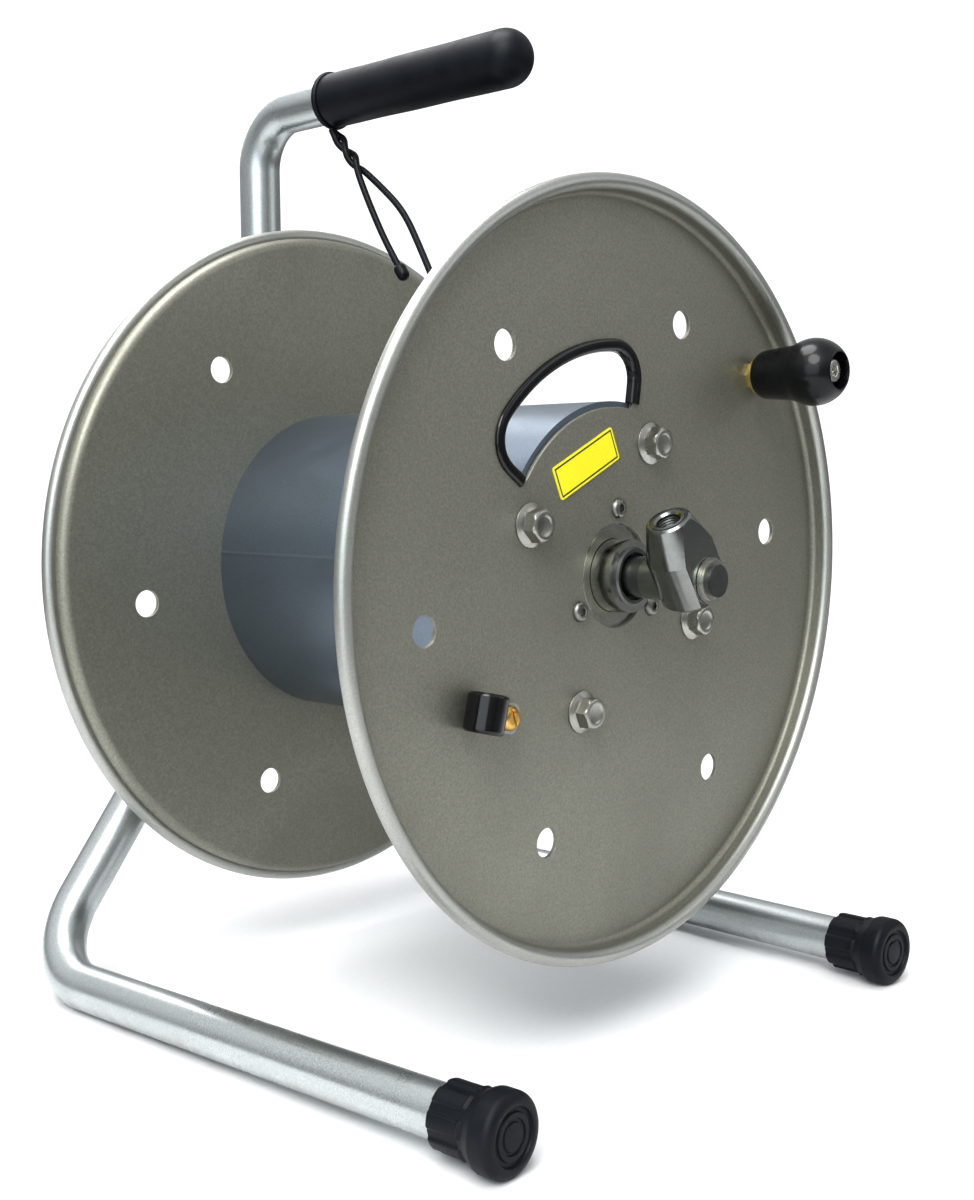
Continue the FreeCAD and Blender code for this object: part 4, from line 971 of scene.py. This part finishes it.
def bolt_part(b):
    """A flange bolt standing on its seat along +Y: its dished crown, hexagon, flange and shank."""
    disc = b.bolt_flange / 2
    shank = b.bolt_shank / 2
    crown = [(0.0, -0.7), (4.0, -0.65), (4.6, -0.35), (5.1, -0.06), (5.6, 0), (6.6, 0), (7.05, -0.12)]
    return spin(np.vstack([
        turned(crown, 0, b.bolt_head),
        turned([(7.6, -0.55), (8.2, -1.1), (9.9, -2.4)], 0, b.bolt_head, b.bolt_flats),
        turned([(9.9, 2.7)], 0, 0, b.bolt_flats),
        turned([(8.9, 2.25), (9.6, 1.75), (10.6, 1.15)]),
        turned([(-0.1, 0.9), (0, 0.65), (0, 0.2), (-0.2, 0)], disc),
        turned([(0, 0)], shank), turned([(0, 1), (-1, 0)], shank, -b.bolt_reach),
        turned([(0, 0)], 0, -b.bolt_reach)]), 72)


def socket_rows(flats, top, point, depth, lip, wider):
    """A hexagon socket from its pointed floor up its wall to its chamfer, in millimetres below the top."""
    return np.vstack([turned([(0, -point)], 0, top), turned([(0, -depth), (0, -lip)], flats, top, flats),
                      turned([(0, -0.02)], flats, top, flats + wider * MM)])


def screw_part(b):
    """A button-head screw standing on its seat along +Y: a hexagon socket, a dome on a curve of three
    points p, q and r, (1 - s)^2 p + 2 s (1 - s) q + s^2 r, and a shank."""
    top = b.screw_height
    edge = b.screw_head / 2
    shank = b.screw_shank / 2
    s = np.linspace(0, 1, 8)[:, None]
    dome = (1 - s) ** 2 * (2.9 * MM, top) + 2 * s * (1 - s) * (4.7 * MM, top) + s ** 2 * (edge, 0.4 * MM)
    return spin(np.vstack([
        socket_rows(b.screw_socket, top, 2.3, 2.0, 0.25, 0.4),
        np.column_stack([dome, np.full(len(dome), ROUND)]),
        turned([(0, 0.1), (-0.1, 0)], edge),
        turned([(0, 0)], shank), turned([(0, 0.5), (-0.5, 0)], shank, -b.screw_reach),
        turned([(0, 0)], 0, -b.screw_reach)]), 72)


class MakeFasteners(bpy.types.Operator):
    """Make the flange bolts and hub screws of both discs."""
    bl_idname = "reel.make_fasteners"
    bl_label = "Bolts and screws"

    def execute(self, context):
        b = settings("fasteners")
        seat = settings("flanges").recess
        tightened = np.radians([12.0, 47.0, 25.0, 3.0])

        def ring(part, *places):
            """One fastener at each place of its circle, turned as it was tightened."""
            return [placed(part, at(x, seat, z), OUT, tightened[k % len(tightened)])
                    for k, (x, z) in enumerate(ring_places(*places))]

        bolts = ring(bolt_part(b), b.bolt_count, b.bolt_phase, b.bolt_circle)
        screws = ring(screw_part(b), b.screw_count, b.screw_phase, b.screw_circle)
        for side in ("front", "rear"):
            for name, node, parts, look in (("bolts", "flange_bolts", bolts, "zinc"),
                                            ("hub_screws", "hub_screws", screws, "hub_screw")):
                if side == "rear":
                    parts = [to_rear(part) for part in parts]
                piece(f"{side}_{name}_turned", parts, finish(look), "drum", [f"{side}_{node}"], 28.0)
        return {"FINISHED"}


def thread(depth, pitch, ends):
    """A ripple for spin: a triangle wave cut along the axis, which moves on one pitch in each turn and
    fades out over a pitch at its two ends."""
    def helix(angle, along):
        """The cut at an angle and a place along the axis."""
        phase = (along / pitch + angle / (2 * np.pi)) % 1.0
        fade = np.clip(np.minimum(along - ends[0], ends[1] - along) / pitch, 0, 1)
        return -fade * depth * np.abs(2 * phase - 1)
    return helix


class MakeSwivelThread(bpy.types.Operator):
    """Make the thread inside the swivel's port: a lining with a helical inner side, in dark steel as painted shade
    in the bore.
    """
    bl_idname = "reel.make_swivel_thread"
    bl_label = "Port thread"

    def execute(self, context):
        s = settings("swivel")
        start = s.port_reach - s.thread_start
        rows = np.linspace(start - s.thread_length, start, 150)
        bore = s.port_bore / 2
        helix = thread(s.thread_depth, s.thread_pitch, rows[[0, -1]])

        def inner(angle, along):
            """The helix on the inner rows only."""
            return (np.arange(len(rows) + 2)[:, None] < len(rows)) * helix(angle, along)

        profile = np.vstack([straight(bore, rows), straight(bore + s.thread_wall, rows[[-1, 0]])])
        axis = (-math.sin(s.port_turn), 0, math.cos(s.port_turn))
        centre = Vector(JOINTS["swivel_spin"]["pos_m"])
        part = placed(spin(profile, 72, ripple=inner, wrap=True), centre, axis)
        # The lining's finish is darker than the polished swivel. It paints the shade inside the bore.
        piece("port_thread", [part], finish("dark_steel"), "swivel", ())
        return {"FINISHED"}


class MakeKnob(bpy.types.Operator):
    """Make the moulded knob and its socket-head bolt.

    The knob's side is the smooth union of a cone a and a ball b: s log(e^(a/s) + e^(b/s)), softness s.
    """
    bl_idname = "reel.make_knob"
    bl_label = "Knob"

    def execute(self, context):
        k = settings("knob")
        bulb = k.bulb / 2
        end_radius = math.sqrt(bulb ** 2 - (k.end - k.bulb_height) ** 2)
        start = k.foot_height + k.shoulder
        height = np.linspace(start, k.end - 0.4 * MM, 90)
        join = k.bulb_height - math.sqrt(bulb ** 2 - (k.waist / 2) ** 2)
        neck = k.neck / 2 + (k.waist - k.neck) / 2 * (height - start) / (join - start)
        neck = np.where(height > k.bulb_height, 0, neck)
        ball = np.sqrt(np.maximum(bulb ** 2 - (height - k.bulb_height) ** 2, 0))
        union = np.maximum(neck, ball) + k.blend * np.log1p(np.exp(-np.abs(neck - ball) / k.blend))
        union = np.where(height > k.bulb_height, ball, union)
        side = np.stack([union, height], axis=-1)
        t = np.radians(np.linspace(0, 90, 9))
        foot = np.stack([k.foot / 2 + (side[0, 0] - k.foot / 2) * np.sin(t),
                         k.foot_height + k.shoulder * (1 - np.cos(t))], axis=-1)[:-1]
        recess = k.recess / 2
        floor = k.end - k.recess_depth
        rim = [(end_radius - 0.05 * MM, k.end - 0.1 * MM), (recess + 0.4 * MM, k.end),
               (recess + 0.1 * MM, k.end - 0.1 * MM), (recess, k.end - 0.4 * MM)]
        inside = rounded([(recess, k.end - 0.5 * MM, 0), (recess, floor, 1.0 * MM),
                          (k.bore / 2, floor, 0.3 * MM), (k.bore / 2, k.foot_height, 0)], 4)
        profile = np.vstack([[(k.bore / 2, k.foot_height)], foot, side, rim, inside])
        x, _, z = JOINTS["knob_spin"]["pos_m"]
        place = at(x, 0, z - AXLE_Z)
        piece("knob_moulded", [placed(spin(profile, 128), place, OUT)], finish("knob_plastic"),
              "crank_knob", ["crank_knob"])

        seat = floor + 0.3 * MM
        top = seat + k.bolt_head_height
        head = k.bolt_head / 2
        bolt = k.bolt / 2
        rows = np.vstack([
            socket_rows(k.bolt_socket, top, 4.4, 4.0, 0.3, 0.5),
            turned([(-1.3, 0), (-0.7, -0.1), (-0.1, -0.7)], head, top),
            straight(head, np.linspace(top - 0.9 * MM, seat + 0.3 * MM, 6), ROUND),
            turned([(-0.3, 0)], head, seat), turned([(0, 0)], bolt, seat),
            turned([(0, 0.5), (-0.6, 0)], bolt, -k.bolt_reach), turned([(0, 0)], 0, -k.bolt_reach)])

        def knurl(angle, along):
            """Forty-eight flutes round the head's side."""
            on_side = (along < top - 0.8 * MM) & (along > seat + 0.2 * MM)
            return on_side * 0.12 * MM * (np.cos(48 * angle) - 1)

        piece("knob_bolt_turned", [placed(spin(rows, 192, knurl), place, OUT, 0.35)],
              finish("knob_screw"), "drum", ["knob_bolt"], 28.0)
        return {"FINISHED"}


class MakeClipCushion(bpy.types.Operator):
    """Make the clip's dipped vinyl cushion: a soft-edged ring carried round the clip's bore."""
    bl_idname = "reel.make_clip_cushion"
    bl_label = "Clip cushion"

    def execute(self, context):
        c = settings("clip")
        f = settings("flanges")
        half = c.width / 2
        inner = c.bore / 2
        outer = c.loop / 2
        foot = ((inner + outer) / 2, -half, 0)
        section = rounded([foot, (outer, -half, c.edge), (outer, half, c.edge), (inner, half, c.bore_edge),
                           (inner, -half, c.bore_edge), foot], 7)[:-1]

        def belly(angle, along):
            """The dipped coat swells a little between its edges."""
            return -c.swell * (along / half) ** 2

        direction = (math.cos(c.turned), math.sin(c.turned))
        centre = at(c.screw_x - c.offset * direction[0], f.recess - outer,
                    c.screw_z - c.offset * direction[1])
        axis = (-direction[1], 0, direction[0])
        part = placed(spin(section, 96, ripple=belly, wrap=True), centre, axis)
        piece("clip_cushion_dipped", [part], finish("black_vinyl"), "drum", ["hose_clip_cushion"])
        return {"FINISHED"}


def saddle(direction, plane, tube, boss, bead, steps=96):
    """A rippled weld bead where a tube meets the boss.

    With tube radius t, boss radius b and angle a round the tube, its middle line is
    d sqrt(b^2 - (t sin a)^2) + s t sin a + y t cos a, for the tube's direction d and s square to it.
    The bead is round about that line, and its radius rises and falls thirty times by a tenth.
    """
    angle = even(steps)
    d = np.array([direction[0], 0, direction[1]])
    s = np.array([-direction[1], 0, direction[0]])
    aside = tube / 2 * np.sin(angle)
    path = (np.sqrt((boss / 2) ** 2 - aside ** 2)[:, None] * d + aside[:, None] * s
            + (tube / 2 * np.cos(angle))[:, None] * np.array([0, 1, 0]))
    tangent = np.roll(path, -1, axis=0) - np.roll(path, 1, axis=0)
    tangent /= np.linalg.norm(tangent, axis=1)[:, None]
    across = d - tangent * (tangent @ d)[:, None]
    across /= np.linalg.norm(across, axis=1)[:, None]
    third = np.cross(tangent, across)
    size = bead * (1 + 0.10 * np.cos(30 * angle))
    ring = circled(even(12))
    section = ring[:, :1] * across[:, None] + ring[:, 1:] * third[:, None]
    points = path[:, None] + size[:, None, None] * section
    return surface(points + np.array(at(0, plane, 0)), True, True)


class MakeWelds(bpy.types.Operator):
    """Make the weld beads where the tubes and the axle meet the boss."""
    bl_idname = "reel.make_welds"
    bl_label = "Welds"

    def execute(self, context):
        s = settings("stand")
        leg = np.array([s.rail_corner_x, -s.corner_height - s.legs_meet])
        leg /= np.linalg.norm(leg)
        parts = [saddle((0, 1), s.upright, s.tube, s.boss, s.weld)]
        parts += [saddle((side * leg[0], leg[1]), s.legs, s.tube, s.boss, s.weld) for side in (-1, 1)]

        def ripples(angle, along):
            """Even ripples round an axle weld."""
            return 0.15 * MM * np.cos(36 * angle)

        for face in (s.boss_front, s.boss_rear):
            section = round_stretch((s.axle / 2 + 0.3 * MM, face), s.weld, 0, 330, 11)
            parts.append(placed(spin(section, 180, ripples, True), at(0, 0, 0)))
        piece("boss_welds", parts, finish("stand_tube"), "stand", (), 60.0)
        return {"FINISHED"}


def handle_line(s):
    """The handle's direction and a function for its points at a distance behind the rim plane."""
    slope = s.handle_drop / (s.upright - s.handle_front)

    def point(y):
        """The handle's middle line, which rises by the slope towards the upright."""
        return at(0, y, s.handle_height - slope * (s.upright - y))
    return (0, 1, slope), point


class MakeGrip(bpy.types.Operator):
    """Make the rubber grip with its round closed end."""
    bl_idname = "reel.make_grip"
    bl_label = "Grip"

    def execute(self, context):
        s = settings("stand")
        radius = s.grip / 2
        run = s.grip_rear - s.grip_front
        bore = s.tube / 2
        dome = round_stretch((0, 0), radius, -90, 0, 16)
        body = straight(radius, np.linspace(1 * MM, run - 7 * MM, 60))
        rear = rounded([(radius, run - 6 * MM, 0), (radius, run, 0.9 * MM), (bore, run, 0.3 * MM),
                        (bore, 2 * MM, 0), (0, 2 * MM, 0)])

        def soft(angle, along):
            """Hand-worn waviness along the outside, faded out over its last 20 mm at both ends."""
            fade = 20 * MM
            on = np.clip(along / fade, 0, 1) * np.clip((run - along) / fade, 0, 1)
            outside = np.arange(len(dome) + len(body) + len(rear))[:, None] < len(dome) + len(body)
            return -0.12 * MM * outside * on * (1 + np.sin(along / (9 * MM)) * np.cos(2 * angle))

        axis, point = handle_line(s)
        part = placed(spin(np.vstack([dome, body, rear]), 96, ripple=soft), point(s.grip_front), axis)
        piece("grip_moulded", [part], finish("black_rubber"), "stand", ["handle_grip"])
        return {"FINISHED"}


# The foot cap's end face: (radius, depth, corner radius) over its rings and grooves.
CAP_FACE = np.array([(0, 0.5, 0), (6.2, 0.5, 0.2), (6.4, 1.3, 0.3), (7.8, 1.3, 0.3), (8.0, 0.5, 0.3),
                     (10.4, 0.5, 0.3), (10.7, 1.5, 0.4), (12.6, 1.5, 0.5), (13.1, 0.15, 0.4),
                     (14.0, 0.0, 0.3)]) * MM


class MakeFootCaps(bpy.types.Operator):
    """Make the two ribbed rubber foot caps, in line with their rails."""
    bl_idname = "reel.make_foot_caps"
    bl_label = "Foot caps"

    def execute(self, context):
        s = settings("stand")
        bell = s.cap / 2
        neck = s.cap_neck / 2
        sleeve = s.cap_sleeve / 2
        bend = [(bell, 0, 4.2 * MM), (bell, 11 * MM, 3.2 * MM), (neck + 0.6 * MM, 16.5 * MM, 2 * MM),
                (neck, 18.5 * MM, 0.3 * MM), (sleeve, 19.5 * MM, 0)]
        face = rounded(np.vstack([CAP_FACE, bend]))
        side = straight(sleeve, np.linspace(19.8 * MM, s.cap_length - 0.6 * MM, 40))
        inside = rounded([(sleeve, s.cap_length - 0.5 * MM, 0), (sleeve - 0.3 * MM, s.cap_length, 0.2 * MM),
                          (s.tube / 2, s.cap_length, 0.2 * MM), (s.tube / 2, s.cap_end, 0),
                          (0, s.cap_end, 0)], 3)
        profile = np.vstack([face, side, inside])
        outside = len(face) + len(side)

        def ribs(angle, along):
            """Flat-topped ribs: a steep curve of cos(n a), faded in behind the bell."""
            wave = np.cos(s.cap_ribs * angle)
            top = 1 / (1 + np.exp(-(wave + 0.35) * 9))
            fade = np.clip((along - 17.5 * MM) / (1.6 * MM), 0, 1) ** 0.5
            end = np.clip((s.cap_length - along) / (1.2 * MM), 0, 1) ** 0.5
            on = np.arange(len(profile))[:, None] < outside
            return on * fade * end * top * s.cap_rib

        for side_name, sign in (("left", -1), ("right", 1)):
            front = at(sign * s.rail_front_x, -s.rail_front, -s.cap_height)
            corner = at(sign * s.rail_corner_x, s.legs, -s.corner_height)
            heading = (corner - front).normalized()
            part = placed(spin(profile, 240, ribs), front - heading * s.cap_end, heading, 0.2)
            piece(side_name + "_cap_moulded", [part], finish("black_rubber"), "stand",
                  [side_name + "_foot_cap"], 50.0)
        return {"FINISHED"}


class MakeInlet(bpy.types.Operator):
    """Make the inlet adapter: a hexagon with a helical thread behind it."""
    bl_idname = "reel.make_inlet"
    bl_label = "Inlet"

    def execute(self, context):
        s = settings("stand")
        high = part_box("inlet_adapter")[1]
        hexagon = s.inlet_hex
        end = hexagon + s.inlet_thread_length
        outer = s.inlet_thread / 2
        bore = s.inlet_bore / 2
        sunk = 12.9 * MM
        thread_rows = np.linspace(hexagon + 0.2 * MM, end - 0.8 * MM, 110)
        rows = np.vstack([
            turned([(8.9, 0)], 0, -sunk), turned([(8.9, 0), (12.9, 0)]),
            turned([(15.4, 1.1), (17, 2)], 0, 0, s.inlet_flats),
            turned([(17, -2), (15.4, -1.1)], 0, hexagon, s.inlet_flats),
            turned([(12.9, 0)], 0, hexagon), turned([(-0.9, 0)], outer, hexagon),
            straight(outer, thread_rows, ROUND),
            turned([(-1.2, 0)], outer, end), turned([(0.5, 0), (0, -0.5)], bore, end),
            turned([(0, 0)], bore, -sunk)])
        helix = thread(s.inlet_depth, s.inlet_pitch, thread_rows[[0, -1]])

        def cut(angle, along):
            """The thread on its own rows."""
            return (rows[:, :1] == outer) * helix(angle, along)

        part = placed(spin(rows, 144, cut, True), (0, high.y - end, AXLE_Z))
        piece("inlet_turned", [part], finish("brass"), "stand", ["inlet_adapter"], 30.0)
        return {"FINISHED"}


# ---- hose tie -----------------------------------------------------------------------------------
TIE_TOP = np.array([0, 217.2, 254.3]) * MM
TIE_FOOT = np.array([0, 197.5, 231.8]) * MM
TIE_EXITS = {"short": np.array([-2.2, 219.4, 257.9]) * MM, "long": np.array([2.2, 221.0, 256.8]) * MM}
TIE_PHASES = {"short": math.pi, "long": 0.0}
TIE_LEGS = {
    "short": np.array([(-2.1, 195.3, 226.0), (-1.9, 190.2, 215.4), (-1.5, 183.2, 201.8),
                       (-0.9, 175.8, 188.4), (-0.4, 169.4, 178.4), (0.0, 164.8, 171.4)]) * MM,
    "long": np.array([(2.2, 191.0, 227.1), (2.0, 180.6, 218.9), (1.6, 168.0, 208.4), (1.1, 158.9, 198.2),
                      (0.7, 150.9, 185.3), (0.3, 143.2, 172.2), (0.1, 138.3, 163.4)]) * MM,
}


def twist_points(phase):
    """One turn round the twist's middle line: its point k of n is the line's point plus the twist
    radius times (side cos a + up sin a), with a = phase + 2 pi k / n."""
    tie = settings("tie")
    line = TIE_FOOT - TIE_TOP
    side = np.array([1.0, 0, 0])
    up = np.cross(line, side)
    up /= np.linalg.norm(up)
    share = np.linspace(0, 1, tie.twist_steps + 1)[:, None]
    angle = phase + 2 * np.pi * share
    return TIE_TOP + line * share + (side * np.cos(angle) + up * np.sin(angle)) * tie.twist_radius


class MakeTie(bpy.types.Operator):
    """Make the tie's two strands, which hang from the loop on the handle."""
    bl_idname = "reel.make_tie"
    bl_label = "Hose tie"

    def execute(self, context):
        tie = settings("tie")
        for name in ("short", "long"):
            route = np.vstack([TIE_EXITS[name], twist_points(TIE_PHASES[name]), TIE_LEGS[name]])
            route = route + np.array(at(0, 0, 0))
            data = bpy.data.curves.new("tie_cord_" + name, "CURVE")
            data.dimensions = "3D"
            spline = data.splines.new("NURBS")
            spline.points.add(len(route) - 1)
            spline.points.foreach_set("co", np.hstack([route, np.ones((len(route), 1))]).ravel())
            spline.order_u = 3
            spline.use_endpoint_u = True
            spline.resolution_u = 16
            data.bevel_depth = tie.diameter / 2
            data.bevel_resolution = 8
            data.use_fill_caps = True
            data.materials.append(finish("tie_cord"))
            strand = added("tie_cord_" + name, data)
            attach(strand, "stand")
            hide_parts("tie_strand_" + name)
        return {"FINISHED"}


# ---- stage --------------------------------------------------------------------------------------
class MakeStage(bpy.types.Operator):
    """Make the pale floor, the soft lights and the camera."""
    bl_idname = "reel.make_stage"
    bl_label = "Stage"

    def execute(self, context):
        self.floor()
        self.world()
        self.lights()
        self.camera()
        context.scene.view_settings.view_transform = "Standard"
        context.scene.view_settings.look = "Medium High Contrast"
        return {"FINISHED"}

    def floor(self):
        """A flat disc, fine near the middle: rings at growing radii."""
        stage = settings("stage")
        rings = np.stack([np.geomspace(0.05, stage.floor_radius, 24), np.zeros(24)], axis=-1)
        points, faces = placed(spin(np.vstack([[(0, 0)], rings])), (0, 0, 0), (0, 0, 1))
        mesh = bpy.data.meshes.new("floor")
        mesh.from_pydata(points.tolist(), [], faces.tolist())
        mended(mesh)
        mesh.materials.append(self.pale_floor(stage))
        made = added("floor", mesh)

    def pale_floor(self, stage):
        """A matt floor that turns to plain white light with its distance from the reel."""
        material, tree, where, shader = started("pale_floor")
        grain = tree.grain(where, settings("colours").floor, 300.0, 0.985, 1.01)
        flat = tree.vector("MULTIPLY", where, (1.0, 1.0, 0.0)).outputs[0]
        away = tree.vector("LENGTH", flat).outputs["Value"]
        far = tree.ranged(away, stage.fade_start, stage.fade_end, curve="SMOOTHSTEP")
        near = tree.mixed(far, grain["Colour"], BLACK)
        seen = tree.put("ShaderNodeLightPath").outputs["Is Camera Ray"]
        lit = tree.times(far, tree.ranged(seen, 0.0, 1.0, stage.floor_glow, 1.0))
        tree.feed(shader, {"Base Color": near, "Emission Color": tree.mixed(lit, BLACK, WHITE),
                           "Emission Strength": 1.0, "Roughness": 0.6, "Specular IOR Level": 0.1})
        return material

    def world(self):
        """A white surround for the camera, and a softer graded one for light and reflections."""
        world = bpy.data.worlds.new("studio")
        world.use_nodes = True
        tree = Tree(world.node_tree)
        way = tree.put("ShaderNodeTexCoord").outputs["Generated"]
        parts = tree.put("ShaderNodeSeparateXYZ", {0: way}).outputs
        # brighter upwards from just below level, and brighter on the left
        rise = tree.ranged(parts["Z"], -0.02, 0.55, 0.16, 0.88)
        side = tree.ranged(parts["X"], -1.0, 1.0, 1.15, 0.70)
        graded = tree.times(rise, side)
        seen = tree.put("ShaderNodeLightPath").outputs["Is Camera Ray"]
        soft = tree.put("ShaderNodeBackground", {"Color": (0.96, 0.98, 1.0, 1.0), "Strength": graded})
        white = tree.put("ShaderNodeBackground", {"Color": WHITE, "Strength": 1.0})
        both = tree.put("ShaderNodeMixShader", {0: seen, 1: soft.outputs[0], 2: white.outputs[0]})
        tree.put("ShaderNodeOutputWorld", {"Surface": both.outputs[0]})
        bpy.context.scene.world = world

    def lights(self):
        """Round soft boxes, each with its place, diameter, watts and tint, aimed at the axle."""
        plan = {
            "key": ((-1.5, -0.9, 1.9), 1.5, 44.0, (1.0, 0.99, 0.97)),
            "fill": ((1.4, -1.8, 1.1), 1.3, 4.0, (0.96, 0.98, 1.0)),
            "left": ((-1.7, -0.8, 0.55), 1.7, 13.0, (0.82, 0.93, 1.0)),
            "top": ((-0.2, 0.1, 1.5), 0.9, 15.0, (1.0, 1.0, 1.0)),
            "rear": ((0.6, 1.9, 1.7), 1.4, 14.0, (1.0, 1.0, 1.0)),
        }
        aim = Vector((0, 0, AXLE_Z))
        for name, (place, size, power, tint) in plan.items():
            data = bpy.data.lights.new(name, "AREA")
            data.shape = "DISK"
            data.size = size
            data.energy = power
            data.color = tint
            made = added(name, data)
            made.location = place
            made.rotation_euler = (aim - Vector(place)).to_track_quat("-Z", "Y").to_euler()

    def camera(self):
        """A camera at an azimuth, elevation and roll about its target in the front rim plane."""
        stage = settings("stage")
        a = stage.azimuth
        e = stage.elevation
        back = Vector((math.sin(a) * math.cos(e), -math.cos(a) * math.cos(e), math.sin(e)))
        right = (-back).cross(Vector((0, 0, 1))).normalized()
        up = right.cross(-back)
        level = Matrix((right, up, back)).transposed()
        pose = level @ Matrix.Rotation(stage.roll, 3, "Z")
        data = bpy.data.cameras.new("camera")
        data.sensor_width = 36.0
        data.lens = stage.lens
        data.shift_x = stage.shift_x
        data.shift_y = stage.shift_y
        data.clip_start = 0.01
        made = added("camera", data)
        target = at(stage.target_x, 0, stage.target_z)
        made.matrix_world = Matrix.Translation(target + back * stage.distance) @ pose.to_4x4()
        bpy.context.scene.camera = made


MAKERS = (MakeFinishes, MakeStage, MakeTie, MakeFlanges, MakeSlotTrim, MakeDrum, MakeFasteners,
          MakeSwivelThread, MakeKnob, MakeClipCushion, MakeWelds, MakeGrip, MakeFootCaps, MakeInlet)


class ReelPanel(bpy.types.Panel):
    """Lists the makers of the reel's pieces."""
    bl_idname = "VIEW3D_PT_hose_reel"
    bl_label = "Hose Reel"
    bl_space_type = "VIEW_3D"
    bl_region_type = "UI"
    bl_category = "Hose Reel"

    def draw(self, context):
        for maker in MAKERS:
            self.layout.operator(maker.bl_idname)
        for name in PROPERTY_GROUPS:
            group = getattr(context.scene, name)
            box = self.layout.box()
            box.label(text=name.replace("_", " ").capitalize())
            for key in group.__annotations__:
                box.prop(group, key)


def register():
    """Register the property groups, the makers and the panel."""
    for name, group in PROPERTY_GROUPS.items():
        bpy.utils.register_class(group)
        setattr(bpy.types.Scene, name, PointerProperty(type=group))
    for maker in MAKERS + (ReelPanel,):
        bpy.utils.register_class(maker)


def unregister():
    """Undo what register does, in the opposite order."""
    for maker in reversed(MAKERS + (ReelPanel,)):
        bpy.utils.unregister_class(maker)
    for name, group in reversed(PROPERTY_GROUPS.items()):
        delattr(bpy.types.Scene, name)
        bpy.utils.unregister_class(group)


def main():
    """Make every piece and the stage."""
    register()
    for maker in MAKERS:
        family, name = maker.bl_idname.split(".")
        getattr(getattr(bpy.ops, family), name)()


if __name__ == "__main__":
    main()
